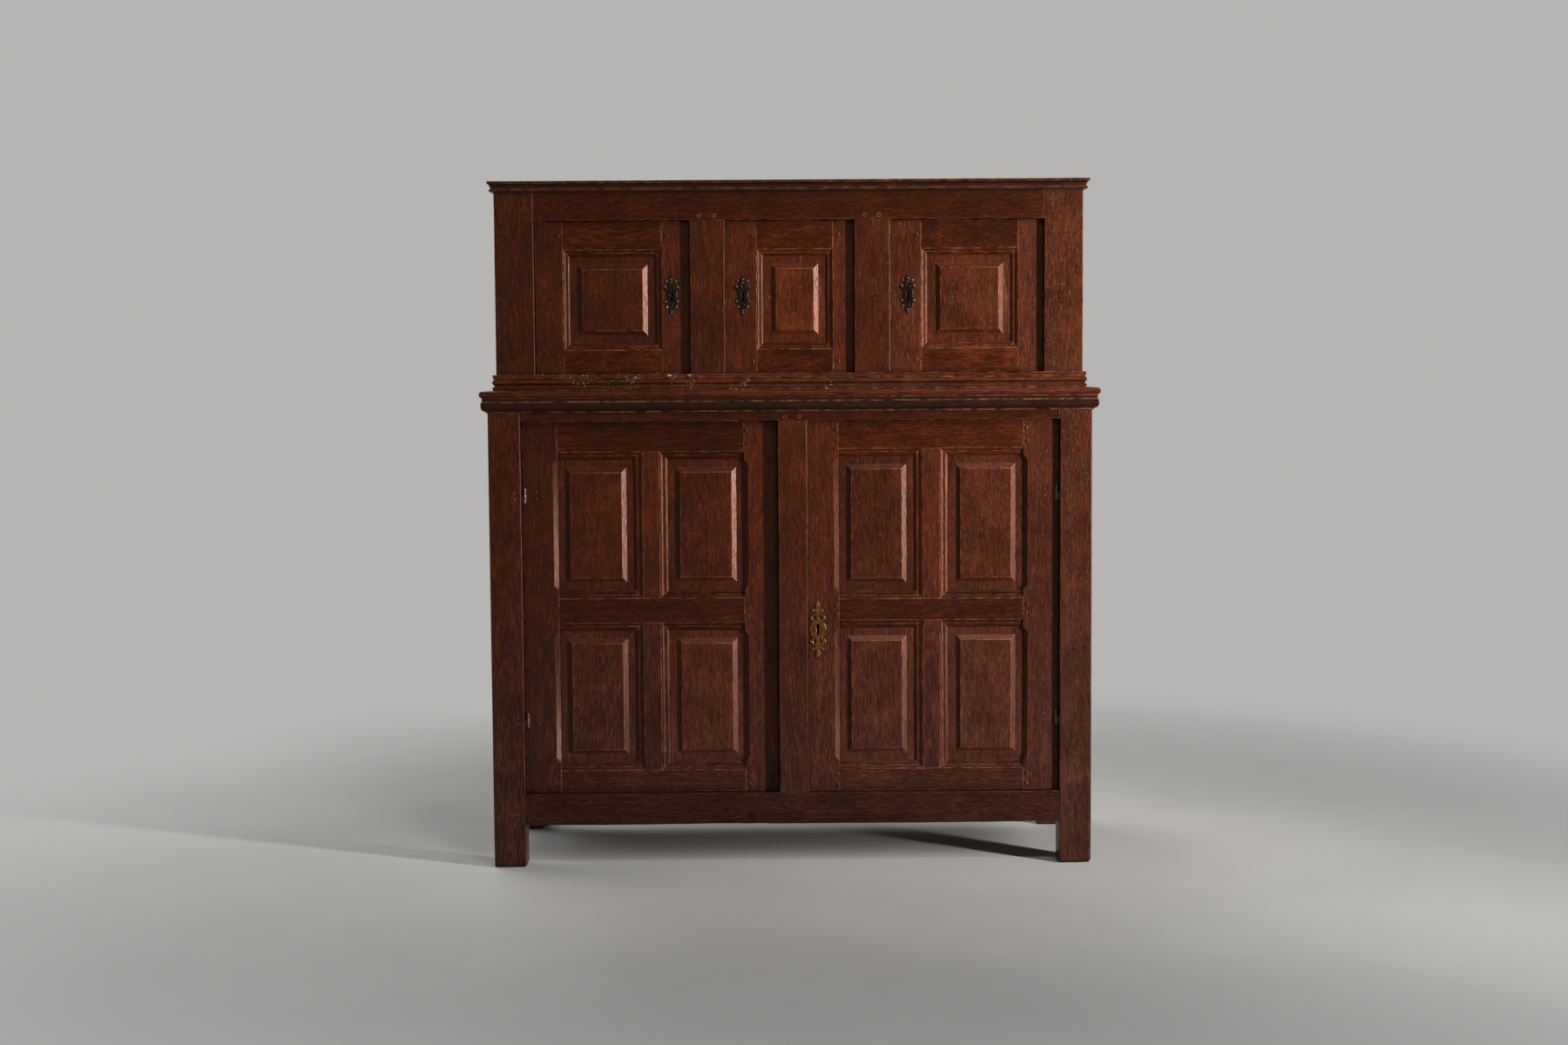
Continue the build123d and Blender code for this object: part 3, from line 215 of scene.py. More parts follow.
def oak(name, grain, tones, figure=0.0, wax=0.3, wear=1.0, corner_dirt_and_shade=DIRT_AND_SHADE, extra=None):
    """Oak with its grain along one axis. Each board of a node gets its own pith, tone and shift.
    tones are the dark, the usual and the light colour. figure is the share of quarter-sawn fleck,
    wax the shine, none on bare wood, and wear the rubbing of its arrises. extra(shader, colour)
    may paint more on the colour."""
    s = Shader(name)
    place = s.enlarged(s.attribute("board_place"), 1 / MM)  # millimetres from the board's middle
    seed = s.attribute("board_seed")
    s1, s2, s3 = s.split(seed)
    xyz = s.split(place)
    across, through, along = (xyz[i] for i in ALONG[grain])
    shift = s.enlarged(seed, 900.0)

    def fibres(fine, long, detail=2.0, roughness=0.5):
        """Noise of fine features per millimetre across the grain and long ones along it."""
        where = s.join(s.scaled(across, fine), s.scaled(through, fine), s.scaled(along, long))
        return s.noise(s.vector("ADD", where, shift), 1.0, detail, roughness)

    def cloud(scale, detail=3.0, roughness=0.5):
        return s.noise(s.vector("ADD", place, shift), scale, detail, roughness)

    # Growth rings: wavy cylinders round a pith that lies off the board, farther off where the
    # board is quarter-sawn.
    pith_across = s.scaled(s1, 90.0, -2.2) if figure else s.scaled(s1, 70.0, 0.5)
    pith_through = s.scaled(s2, 14.0, 0.5) if figure else s.scaled(s2, 80.0, -0.45)
    from_pith = s.join(
        s.math("SUBTRACT", across, pith_across), s.math("SUBTRACT", through, pith_through), 0.0
    )
    radius = s.vector("LENGTH", from_pith)
    radius = s.math("ADD", radius, s.scaled(fibres(0.004, 0.0022, 3.0), 42.0))
    ring = s.math("FRACT", s.math("MULTIPLY_ADD", radius, RINGS_PER_MM, s3))
    early = s.math("MULTIPLY", s.step(ring, 0.0, 0.12), s.step(ring, 0.25, 0.75, 1.0, 0.0))
    band = s.noise(s.join(s.scaled(radius, 0.13), s1, s.scaled(along, 0.002)), 1.0, 3.0, 0.6)

    flakes = fibres(0.24, 0.02, 3.0, 0.65)
    thread = fibres(1.0, 0.06, 2.0)
    blotch = cloud(0.013, 4.0)
    pores = s.step(fibres(0.75, 0.05, 1.0), 0.54, 0.64)
    pores = s.math("MULTIPLY", pores, s.scaled(early, 0.6, -0.7))
    tone = s.total(
        0.5,
        s.scaled(band, 0.3, 0.5),
        s.scaled(flakes, 0.6, 0.5),
        s.scaled(thread, 1.3, 0.5),
        s.scaled(blotch, 0.4, 0.5),
        s.scaled(s3, 0.14 if wax else 0.34, 0.5),
        s.scaled(early, -0.1),
    )
    colour = s.ramp(tone, (0.12, tones[0]), (0.5, tones[1]), (0.92, tones[2]))
    if wax:
        colour = s.mix(s.scaled(s2, 0.2), colour, s.mix(1.0, colour, REDDISH, "OVERLAY"))
        # Floor dust and mopping take some of the red out of the lower parts.
        level = s.split(s.where())[2]
        faded = {"Saturation": s.step(level, 0.1, 0.9, 0.84, 1.0), "Color": colour}
        colour = s.node("ShaderNodeHueSaturation", faded).outputs[0]
    if figure:
        sway = s.join(s.scaled(across, 0.09), s.scaled(through, 0.3), s.scaled(along, 0.16))
        ribbon = s.noise(s.vector("ADD", sway, shift), 1.0, 2.0, 0.5, 1.8)
        ribbon = s.math("MULTIPLY", s.step(ribbon, 0.56, 0.64), figure)
        colour = s.mix(s.math("MULTIPLY", ribbon, s.step(blotch, 0.42, 0.6)), colour, tones[2])
    colour = s.mix(s.scaled(pores, 0.9), colour, tones[0])

    # Corners and recesses are darkened by ambient occlusion as painted shade, which also stands for
    # the dirt that gathers there, and hands and cloths rub the arrises bright.
    hollow = s.node("ShaderNodeAmbientOcclusion", {"Distance": HOLLOW_REACH}, samples=6)
    hollow = s.step(hollow.outputs["AO"], 0.4, 0.97, 1.0, 0.0)
    colour = s.mix(s.scaled(hollow, 0.8), colour, corner_dirt_and_shade)
    edge = s.step(s.flatness(RUB_REACH), 0.90, 0.995, 1.0, 0.0)
    facing_up = s.split(s.node("ShaderNodeNewGeometry").outputs["Normal"])[2]
    dusty = s.step(facing_up, 0.7, 0.95)
    rubbed = s.math("MULTIPLY", edge, s.step(cloud(0.045, 4.0, 0.65), 0.36, 0.66))
    colour = s.mix(s.scaled(rubbed, 0.85 * wear), colour, WORN)
    if extra:
        colour = extra(s, colour)

    roughness = s.total(
        0.3 if wax else 0.78,
        s.scaled(blotch, 0.12, 0.5),
        s.scaled(pores, 0.2),
        s.scaled(hollow, 0.25),
        s.scaled(edge, -0.08),
        s.scaled(dusty, 0.26),
    )
    height = s.total(
        s.scaled(pores, -1.0), s.scaled(early, -0.2), s.scaled(thread, 0.6), s.scaled(flakes, 0.3)
    )
    s.bump(height, GRAIN_DEPTH, 0.8)
    return s.finish(
        Base_Color=colour,
        Roughness=roughness,
        Specular_IOR_Level=wax or DRY_SHINE,
        Specular_Tint=WAX_TINT if wax else DRY_TINT,
    )


# ---------------------------------------------------------------- metals
METAL_RELIEF = 0.2 * MM


def metal(name, tones, metallic, roughness, scale, rim=1.1):
    """Old hand-worked metal: patina in patches, rubbed bright on the edges. tones are the
    patina, the bare metal and the rubbed edge, scale is that of the patches per metre and rim the
    reach of the rubbing in millimetres."""
    dark, mid, bright = (rgb(*tone) for tone in tones)
    s = Shader(name)
    where = s.where()
    cloud = s.noise(where, scale, 4.0, 0.6)
    speck = s.noise(where, scale * 7, 3.0, 0.7)
    colour = s.ramp(s.total(s.scaled(cloud, 0.8), s.scaled(speck, 0.35)), (0.35, dark), (0.72, mid))
    edge = s.step(s.flatness(rim * MM), 0.88, 0.99, 1.0, 0.0)
    edge = s.math("MULTIPLY", edge, s.step(cloud, 0.3, 0.5))
    colour = s.mix(edge, colour, bright)
    s.bump(s.math("ADD", s.scaled(speck, 0.5), cloud), METAL_RELIEF, 0.7)
    rough = s.total(roughness, s.scaled(speck, 0.3, 0.5), s.scaled(edge, -0.15))
    return s.finish(Base_Color=colour, Roughness=rough, Metallic=metallic)


OLD_IRON = ((42, 34, 29), (92, 80, 70), (190, 174, 156))
DARK_IRON = ((34, 26, 21), (84, 68, 56), (170, 152, 134))
LOCK_IRON_SHADED = ((18, 15, 13), (46, 40, 35), (96, 88, 78))
OLD_BRASS = ((38, 22, 10), (132, 80, 36), (255, 220, 160))
DARK_BRONZE = ((18, 10, 7), (48, 29, 20), (255, 222, 190))
RUBBED_BRONZE = ((84, 56, 42), (190, 144, 114), (255, 232, 208))
iron = metal("old_iron", OLD_IRON, 0.8, 0.4, 160)
nail_iron = metal("nail_iron", DARK_IRON, 0.8, 0.4, 160)
# The lock case and bolt are kept near black as painted shade, so that the keyholes show dark.
shaded_lock_iron = metal("shaded_lock_iron", LOCK_IRON_SHADED, 0.5, 0.7, 120)
brass = metal("old_brass", OLD_BRASS, 0.85, 0.23, 140, 1.2)
bronze = metal("dark_bronze", DARK_BRONZE, 0.85, 0.22, 150, 0.9)
polished = metal("rubbed_bronze", RUBBED_BRONZE, 0.9, 0.16, 150, 1.0)


# ---------------------------------------------------------------- boards of a node
def board_group():
    """Geometry nodes that join the frame's loose faces, give each board its own seed and centre,
    and mark the long arrises for a bevel."""
    group = bpy.data.node_groups.new("boards", "GeometryNodeTree")
    face = group.interface
    face.new_socket("Geometry", in_out="INPUT", socket_type="NodeSocketGeometry")
    seed = face.new_socket("Seed", in_out="INPUT", socket_type="NodeSocketInt")
    keep = face.new_socket("Keep arrises", in_out="INPUT", socket_type="NodeSocketBool")
    face.new_socket("Geometry", in_out="OUTPUT", socket_type="NodeSocketGeometry")

    def node(kind, values=(), **settings):
        made = group.nodes.new(kind)
        for key, value in settings.items():
            setattr(made, key, value)
        for key, value in dict(values).items():
            if isinstance(value, bpy.types.NodeSocket):
                group.links.new(value, made.inputs[key])
            else:
                made.inputs[key].default_value = value
        return made

    def vector(operation, a, b):
        return node("ShaderNodeVectorMath", {0: a, 1: b}, operation=operation)

    def above(value, limit):
        return node("FunctionNodeCompare", {0: value, 1: limit}, operation="GREATER_THAN")

    def store(geometry, name, value, domain="POINT", kind="FLOAT_VECTOR"):
        values = {"Geometry": geometry, "Name": name, "Value": value}
        kept = node("GeometryNodeStoreNamedAttribute", values, domain=domain, data_type=kind)
        return kept.outputs[0]

    start = group.nodes.new("NodeGroupInput")
    merged = node("GeometryNodeMergeByDistance", {"Geometry": start.outputs[0], "Distance": WELD})
    own_normals = {"Geometry": merged.outputs[0], "Name": "custom_normal"}
    plain = node("GeometryNodeRemoveAttribute", own_normals)
    island = node("GeometryNodeInputMeshIsland").outputs["Island Index"]
    draw = {"ID": island, "Seed": start.outputs[1]}
    random_value = node("FunctionNodeRandomValue", draw, data_type="FLOAT_VECTOR")
    position = node("GeometryNodeInputPosition").outputs[0]
    points = {"Value": position, "Group ID": island}
    total = node("GeometryNodeAccumulateField", points, data_type="FLOAT_VECTOR")
    count = node("GeometryNodeAccumulateField", {"Group ID": island}, data_type="FLOAT")
    centre = vector("DIVIDE", total.outputs["Total"], count.outputs["Total"])
    place = vector("SUBTRACT", position, centre.outputs[0])
    geometry = store(plain.outputs[0], "board_seed", random_value.outputs[0])
    geometry = store(geometry, "board_place", place.outputs[0])

    ends = node("GeometryNodeInputMeshEdgeVertices")
    length = vector("DISTANCE", ends.outputs["Position 1"], ends.outputs["Position 2"])
    angle = node("GeometryNodeInputMeshEdgeAngle").outputs["Unsigned Angle"]
    long = above(length.outputs["Value"], SHORTEST_ARRIS)
    sharp = above(angle, ARRIS_ANGLE)
    long_and_sharp = {0: long.outputs[0], 1: sharp.outputs[0]}
    both = node("FunctionNodeBooleanMath", long_and_sharp, operation="AND")
    eased = store(geometry, "bevel_weight_edge", both.outputs[0], "EDGE", "FLOAT")
    either = {"Switch": start.outputs[2], "False": eased, "True": geometry}
    choice = node("GeometryNodeSwitch", either, input_type="GEOMETRY")
    faces = {"Geometry": choice.outputs[0], "Shade Smooth": True}
    smooth = node("GeometryNodeSetShadeSmooth", faces, domain="FACE")
    edges = {"Geometry": smooth.outputs[0], "Selection": sharp.outputs[0], "Shade Smooth": False}
    creased = node("GeometryNodeSetShadeSmooth", edges, domain="EDGE")
    end = group.nodes.new("NodeGroupOutput")
    group.links.new(creased.outputs[0], end.inputs[0])
    return group, seed.identifier, keep.identifier


boards, seed_socket, keep_socket = board_group()


def tag_boards(obj, seed):
    """Tells the shaders of an object where its boards are. seed is a whole number of its own."""
    tags = obj.modifiers.new("boards", "NODES")
    tags.node_group = boards
    tags[seed_socket] = seed


def solids(node):
    """Box of each solid of a frame node, as (low, high), from left to right and then upwards."""
    mesh = nodes[node].data
    at = [tuple(round(c, 6) for c in v.co) for v in mesh.vertices]
    group = {place: place for place in at}

    def top(place):
        while group[place] != place:
            group[place] = group[group[place]]
            place = group[place]
        return place

    for edge in mesh.edges:
        a, b = (top(at[i]) for i in edge.vertices)
        group[a] = b
    boxes = {}
    for place in group:
        low, high = boxes.setdefault(top(place), (list(place), list(place)))
        for i, value in enumerate(place):
            low[i] = min(low[i], value)
            high[i] = max(high[i], value)
    found = [(Vector(low), Vector(high)) for low, high in boxes.values()]
    return sorted(found, key=lambda box: (round(box[0].x, 3), box[0].z))


def round_arrises(obj, name, width, segments):
    """Rounds each edge by its bevel weight, up to width."""
    bevel = obj.modifiers.new(name, "BEVEL")
    bevel.width = width
    bevel.segments = segments
    bevel.limit_method = "WEIGHT"
    bevel.use_clamp_overlap = False
    bevel.harden_normals = True


def dress(node, material, soft=0.0):
    """Gives a node of the frame its material, board by board, and eases its arrises by soft."""
    obj = nodes[node]
    obj.data.materials.clear()
    obj.data.materials.append(material)
    tag_boards(obj, sorted(nodes).index(node))
    if soft:
        round_arrises(obj, "eased arrises", soft, 2)


WIDEST_WEAR = 9 * MM
WEAR_STEP = 16 * MM  # length of arris that wears alike


def worn(node, material, ease, local=None, bend=None, seed_shift=0.0):
    """A copy of a frame node with its arrises worn unevenly by hand, foot and broom, which stands
    for the node. ease is the usual width of wear. local(point) adds to it, and bend(point) moves
    the arris there."""
    source = nodes[node]
    mesh = source.data.copy()
    bm = bmesh.new()
    bm.from_mesh(mesh)
    bmesh.ops.remove_doubles(bm, verts=bm.verts, dist=WELD)
    bmesh.ops.dissolve_limit(bm, angle_limit=FLAT_ANGLE, verts=bm.verts, edges=bm.edges)
    width = bm.edges.layers.float.new("bevel_weight_edge")
    arrises = [
        edge
        for edge in bm.edges
        if edge.is_manifold
        and edge.is_convex
        and edge.calc_face_angle() > ARRIS_ANGLE
        and edge.calc_length() > SHORTEST_ARRIS
    ]
    pieces = []
    for edge in arrises:
        parts = max(1, round(edge.calc_length() / WEAR_STEP))
        start = edge.verts[0]
        for k in range(parts - 1):
            cut, start = bmesh.utils.edge_split(edge, start, 1 / (parts - k))
            pieces.append(cut)
        pieces.append(edge)
    shift = Vector((seed_shift, 3.1, 1.7))
    for edge in pieces:
        middle = (edge.verts[0].co + edge.verts[1].co) / 2
        rough = noise.noise(middle * 28 + shift) * 0.45 + noise.noise(middle * 90 + shift) * 0.35
        wear = ease * max(0.25, 1 + rough) + (local(middle) if local else 0.0)
        edge[width] = min(1.0, wear / WIDEST_WEAR)
    if bend:
        for vert in {v for edge in pieces for v in edge.verts}:
            vert.co += bend(vert.co)
    for face in bm.faces:
        face.smooth = True
    for edge in bm.edges:
        edge.smooth = edge.calc_face_angle(0.0) < SMOOTH_ANGLE
    bm.to_mesh(mesh)
    bm.free()
    if "custom_normal" in mesh.attributes:
        mesh.attributes.remove(mesh.attributes["custom_normal"])
    mesh.name = node + "_worn"
    mesh.materials.clear()
    mesh.materials.append(material)
    copy = bpy.data.objects.new(node + "_worn", mesh)
    link(copy)
    tag_boards(copy, sorted(nodes).index(node))
    copy.modifiers["boards"][keep_socket] = True
    round_arrises(copy, "worn arrises", WIDEST_WEAR, 3)
    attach(copy, body_of_node[node])
    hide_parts(node)


def flecks(box_low, box_high, amount):
    """Pale chips and drips of old limewash, inside a box of the frame."""

    def paint(s, colour):
        where = s.where()
        inside = 1.0
        for value, low, high in zip(s.split(where), box_low, box_high):
            inside = s.math("MULTIPLY", inside, s.math("GREATER_THAN", value, low))
            inside = s.math("MULTIPLY", inside, s.math("LESS_THAN", value, high))
        spots = s.step(s.noise(where, 170.0, 3.0, 0.7), 0.70 - amount, 0.74 - amount)
        clumps = s.step(s.noise(where, 14.0, 2.0), 0.5, 0.6)
        chipped = s.math("MULTIPLY", inside, s.math("MULTIPLY", spots, clumps))
        return s.mix(chipped, colour, LIMEWASH)

    return paint


def scribed(level):
    """A joiner's scribed line across a piece, at a height."""

    def paint(s, colour):
        where = s.where()
        off = s.math("ABSOLUTE", s.math("SUBTRACT", s.split(where)[2], level))
        return s.mix(s.step(off, 0.4 * MM, 1.0 * MM, 0.9, 0.0), colour, DIRT_AND_SHADE)

    return paint


SCRIBED_LEVEL = 1.496
CHIPPED_LOW, CHIPPED_HIGH = (-0.55, -1, 1.12), (0.1, 0, 1.18)  # box of the chipped stretch
upright_oak = oak("oak_upright", "Z", WAXED)
scribed_oak = oak("oak_upright_scribed", "Z", WAXED, extra=scribed(SCRIBED_LEVEL))
rail_oak = oak("oak_rail", "X", RAIL_SHADED_TONES, wax=0.19)
figured_rail = oak("oak_rail_figured", "X", RAIL_SHADED_TONES, figure=0.8, wax=0.19)
figured_stile = oak("oak_stile_figured", "Z", WAXED, figure=0.3)
side_oak = oak("oak_side_rail", "Y", WAXED)
panel_oak = oak("oak_panel", "Z", WAXED_PANEL, figure=0.35)
moulding_oak = oak("oak_moulding", "X", WAXED, wear=1.2)
shaded_cornice_oak = oak("oak_cornice_shaded", "X", CORNICE_SHADED_TONES, wear=1.3)
waist_oak = oak("oak_waist", "X", WAXED, wear=1.2, extra=flecks(CHIPPED_LOW, CHIPPED_HIGH, 0.1))
inner_upright = oak("oak_inner_upright", "Z", INNER, wax=0.0, wear=0.3, corner_dirt_and_shade=INNER_DIRT_AND_SHADE)
inner_board = oak("oak_inner_board", "X", INNER, wax=0.0, wear=0.3, corner_dirt_and_shade=INNER_DIRT_AND_SHADE)
inner_bearer = oak("oak_inner_bearer", "Y", INNER, wax=0.0, wear=0.3, corner_dirt_and_shade=INNER_DIRT_AND_SHADE)
peg_oak = oak("oak_peg", "Y", (rgb(16, 8, 5), rgb(38, 19, 12), rgb(60, 32, 20)), wear=0.8)

BOARD_EASE = 1.2 * MM
DOOR_EASE = 0.35 * MM
MOULDING_EASE = 0.3 * MM
for node, material, soft in (
    ("lower_side_rails", side_oak, BOARD_EASE),
    ("upper_side_rails", side_oak, BOARD_EASE),
    ("lower_side_panels", panel_oak, DOOR_EASE),
    ("upper_side_panels", panel_oak, DOOR_EASE),
    ("lower_back_rails", inner_board, BOARD_EASE),
    ("upper_back_rails", inner_board, BOARD_EASE),
    ("lower_back_boards", inner_upright, BOARD_EASE),
    ("upper_back_boards", inner_upright, BOARD_EASE),
    ("lower_floor_boards", inner_board, BOARD_EASE),
    ("upper_floor_boards", inner_board, BOARD_EASE),
    ("shelf_bearers", inner_bearer, BOARD_EASE),
    ("shelf_boards", inner_board, BOARD_EASE),
    ("middle_top_boards", moulding_oak, 0.0),
    ("roof_boards", rail_oak, BOARD_EASE),
    ("partitions", inner_bearer, BOARD_EASE),
    ("frame_pegs", peg_oak, 0.0),
    ("door_stops", inner_bearer, BOARD_EASE),
    ("top_cornice", shaded_cornice_oak, MOULDING_EASE),
    ("middle_cornice", shaded_cornice_oak, MOULDING_EASE),
    ("waist_moulding", waist_oak, MOULDING_EASE),
    ("frame_hinges_and_pins", iron, 0.0),
    ("lower_left_door_turn_button", inner_upright, 0.0),
):
    dress(node, material, soft)
for door in DOORS:
    lower = door.startswith("lower")
    uprights = door + ("_uprights" if lower else "_stiles")
    dress(uprights, upright_oak if lower else figured_stile, DOOR_EASE)
    dress(door + "_rails", rail_oak if lower else figured_rail, DOOR_EASE)
    dress(door + ("_panels" if lower else "_panel"), panel_oak, DOOR_EASE)
    dress(door + "_hinges", iron)
for door in LOCKED:
    dress(door + "_lock_case", shaded_lock_iron)
    dress(door + "_lock_bolt", shaded_lock_iron)
    dress(door + "_escutcheon", brass if door.startswith("lower") else bronze)

FOOT_WEAR_HEIGHT = 0.09
FOOT_RIGHT = 0.69  # the outer arris of the right front foot lies to the right of this
FOOT_BACK = -0.2  # and in front of this
SILL_TOP = 0.11  # the lower front edge of the bottom rail lies below this
SILL_BACK = -0.23  # and in front of this


def foot_wear(point):
    """Feet wear more towards the floor, the outer right one most."""
    low = max(0.0, 1 - point.z / FOOT_WEAR_HEIGHT)
    outer_right = point.x > FOOT_RIGHT and point.y < FOOT_BACK
    return low * low * (7 * MM if outer_right else 2.5 * MM)


def on_sill_edge(point):
    return point.z < SILL_TOP and point.y < SILL_BACK


def sill_wear(point):
    """The lower edge of the bottom rail is kicked and swept away in places."""
    if not on_sill_edge(point):
        return 0.0
    return 2.2 * MM * max(0.0, 0.6 + noise.noise(Vector((point.x * 5, 0.3, 0))))


def sill_bend(point):
    """That edge also runs unevenly, with long waves and short nicks."""
    if not on_sill_edge(point):
        return Vector()
    waves = 2.5 * MM * noise.noise(Vector((point.x * 3.1, 8.2, 0)))
    nicks = 1.2 * MM * noise.noise(point * 30)
    return Vector((0, 0, max(0.0, waves + nicks + 0.5 * MM)))


worn("lower_posts", upright_oak, 2.4 * MM, local=foot_wear)
worn("upper_posts", scribed_oak, 2.0 * MM, seed_shift=5.0)
worn("lower_front_rails", rail_oak, 1.8 * MM, local=sill_wear, bend=sill_bend)
worn("upper_front_rails", rail_oak, 1.3 * MM, seed_shift=9.0)
worn("lower_front_muntins", upright_oak, 1.8 * MM)
worn("upper_front_muntins", scribed_oak, 1.8 * MM)


# ---------------------------------------------------------------- camera
CAMERA_PLACE = (-0.0586, -5.3628, 1.1918)
CAMERA_TURN = (85.846, 0.384, -0.501)  # degrees
camera_data = bpy.data.cameras.new("camera")
camera_data.lens = 50.0
camera_data.sensor_width = 36.0
camera = bpy.data.objects.new("camera", camera_data)
camera.location = CAMERA_PLACE
camera.rotation_euler = Euler([math.radians(turn) for turn in CAMERA_TURN])
link(camera)
bpy.context.scene.camera = camera


# ---------------------------------------------------------------- pegs, nails and plates
def mesh_piece(name, verts, faces, finish, body, seed):
    """A new piece that rides on a body. finish is a material and the record's slot that it
    stands for; the slot is not used."""
    material, slot = finish
    mesh = bpy.data.meshes.new(name)
    mesh.from_pydata(verts, [], faces)
    mesh.validate()
    mesh.materials.append(material)
    obj = bpy.data.objects.new(name, mesh)
    link(obj)
    tag_boards(obj, seed)
    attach(obj, body)


def turned(place, out):
    """Matrix that puts a head drawn about Z at place, with its Z along out."""
    return Matrix.Translation(place) @ Vector(out).to_track_quat("Z", "Y").to_matrix().to_4x4()


PEG = (peg_oak, "peg_oak")
IRON = (nail_iron, "iron")
BRASS = (brass, "brass")
BRONZE = (bronze, "brass")
STUD = (polished, "brass")
PEG_HEAD = (4.6 * MM, 1.2 * MM, 8)  # radius, rise and number of sides
HINGE_NAIL = (2.3 * MM, 0.9 * MM, 7)
BOARD_NAIL = (3.6 * MM, 1.1 * MM, 7)
BOSS_RISE = 0.45  # share of a boss's radius
BOSS_SIDES = 10


def heads(name, places, finish, body, radius, rise, sides):
    """Heads of pegs or nails as one piece: a slightly irregular polygon that rises to a worn top.
    places holds (point on the surface, direction out)."""
    verts, faces = [], []
    for place, out in places:
        matrix = turned(place, out)
        spin = rng.uniform(0, math.tau)
        wide = radius * rng.uniform(0.92, 1.08)
        high = rise * rng.uniform(0.8, 1.25)
        # Share of the width and height of each ring, from below the surface to the top.
        rings = ((1.0, -1.0 * MM), (1.0, 0.45 * high), (0.8, 0.92 * high), (0.35, high))
        first = len(verts)
        jitter = [rng.uniform(0.93, 1.07) for _ in range(sides)]
        for scale, z in rings:
            for k in range(sides):
                turn = spin + math.tau * k / sides
                r = wide * scale * jitter[k]
                verts.append(matrix @ Vector((r * math.cos(turn), r * math.sin(turn), z)))
        for ring in range(len(rings) - 1):
            for k in range(sides):
                a = first + ring * sides + k
                b = first + ring * sides + (k + 1) % sides
                faces.append((a, b, b + sides, a + sides))
        faces.append([first + (len(rings) - 1) * sides + k for k in range(sides)])
        faces.append([first + k for k in reversed(range(sides))])
    mesh_piece(name, [tuple(v) for v in verts], faces, finish, body, len(verts))


FRONT = (0, -1, 0)
MOULDING = {"upper": 15.5 * MM, "lower": 19 * MM}  # width of that on a rail
PEG_OFFSET = {"upper": 11 * MM, "lower": 6 * MM}  # from the joint into the stile
PEG_LEVELS = {"upper": (0.5,), "lower": (0.28, 0.72)}  # shares of a rail's clear height
rng = random.Random(7)


def astray(most):
    """A random distance of at most so many millimetres either way."""
    return rng.uniform(-most, most) * MM


# Pegs through the joints of the doors, clear of the mouldings. The upper doors have mouldings on
# their stiles too.
for door in DOORS:
    stage_name = door.split("_")[0]
    lower = stage_name == "lower"
    uprights = solids(door + ("_uprights" if lower else "_stiles"))
    rails = sorted(solids(door + "_rails"), key=lambda box: box[0].z)
    left, right = uprights[0], uprights[-1]
    band = 0.0 if lower else MOULDING[stage_name]
    front = left[0].y
    places = []
    for index, (low, high) in enumerate(rails):
        z0 = low.z + (MOULDING[stage_name] if index else 0.0)
        z1 = high.z - (MOULDING[stage_name] if index < len(rails) - 1 else 0.0)
        into_stile = band + PEG_OFFSET[stage_name]
        for x in (left[1].x - into_stile, right[0].x + into_stile):
            for part in PEG_LEVELS[stage_name]:
                z = z0 + (z1 - z0) * part + astray(2)
                places.append(((x + astray(1.5), front, z), FRONT))
    heads(door + "_pegs", places, PEG, door, *PEG_HEAD)

# Nails that clench the hinge leaves, in pairs, on the lower doors.
PIN_IN_LEAF = 4.2 * MM  # from the leaf's outer edge
NAIL_OFF_STILE = 27.5 * MM
NAIL_OFF_POST = 22.5 * MM
NAIL_OFF_LEVEL = 7.5 * MM
post_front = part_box("lower_posts")[0].y
post_nails = []
for door, way in (("lower_left_door", 1), ("lower_right_door", -1)):
    door_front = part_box(door + "_uprights")[0].y
    nails = []
    for low, high in solids(door + "_hinges"):
        pin_x = low.x + PIN_IN_LEAF if way > 0 else high.x - PIN_IN_LEAF
        for level in (low.z - NAIL_OFF_LEVEL, low.z + NAIL_OFF_LEVEL):
            nails.append(((pin_x + way * NAIL_OFF_STILE + astray(1), door_front, level), FRONT))
            post_nails.append(((pin_x - way * NAIL_OFF_POST + astray(1), post_front, level), FRONT))
    heads(door + "_hinge_nails", nails, IRON, door, *HINGE_NAIL)
heads("post_hinge_nails", post_nails, IRON, "root", *HINGE_NAIL)

# Nails through the back boards into the rails.
NAIL_OFF_SEAM = 32 * MM
board_nails = []
for stage_name in ("lower", "upper"):
    rails = solids(stage_name + "_back_rails")
    for low, high in solids(stage_name + "_back_boards"):
        for rail_low, rail_high in rails:
            for x in (low.x + NAIL_OFF_SEAM, high.x - NAIL_OFF_SEAM):
                z = (rail_low.z + rail_high.z) / 2 + astray(9)
                board_nails.append(((x + astray(6), high.y, z), (0, 1, 0)))
heads("back_board_nails", board_nails, IRON, "root", *BOARD_NAIL)


# ---------------------------------------------------------------- lock plates
def closed_spline(curve, points):
    """Adds a closed Bezier loop of (x, z, corner) points in millimetres."""
    spline = curve.splines.new("BEZIER")
    spline.bezier_points.add(len(points) - 1)
    spline.use_cyclic_u = True
    for knot, (x, z, corner) in zip(spline.bezier_points, points):
        knot.co = (x * MM, z * MM, 0)
        kind = "VECTOR" if corner else "AUTO"
        knot.handle_left_type = knot.handle_right_type = kind
    spline.resolution_u = 8


def mirrored(half):
    """A whole outline from its right half, given from the top down."""
    return half + [(-x, z, corner) for x, z, corner in reversed(half) if x]


def oval(x, z, wide, high):
    return [(x + wide, z, False), (x, z + high, False), (x - wide, z, False), (x, z - high, False)]


def keyhole(head_z, head, slot, foot):
    """Round head over a slot that widens a little towards its foot."""
    top = [(0, head_z + head, False), (head, head_z, False)]
    return mirrored(top + [(slot, head_z - head * 0.8, True), (slot * 1.2, foot, True)])


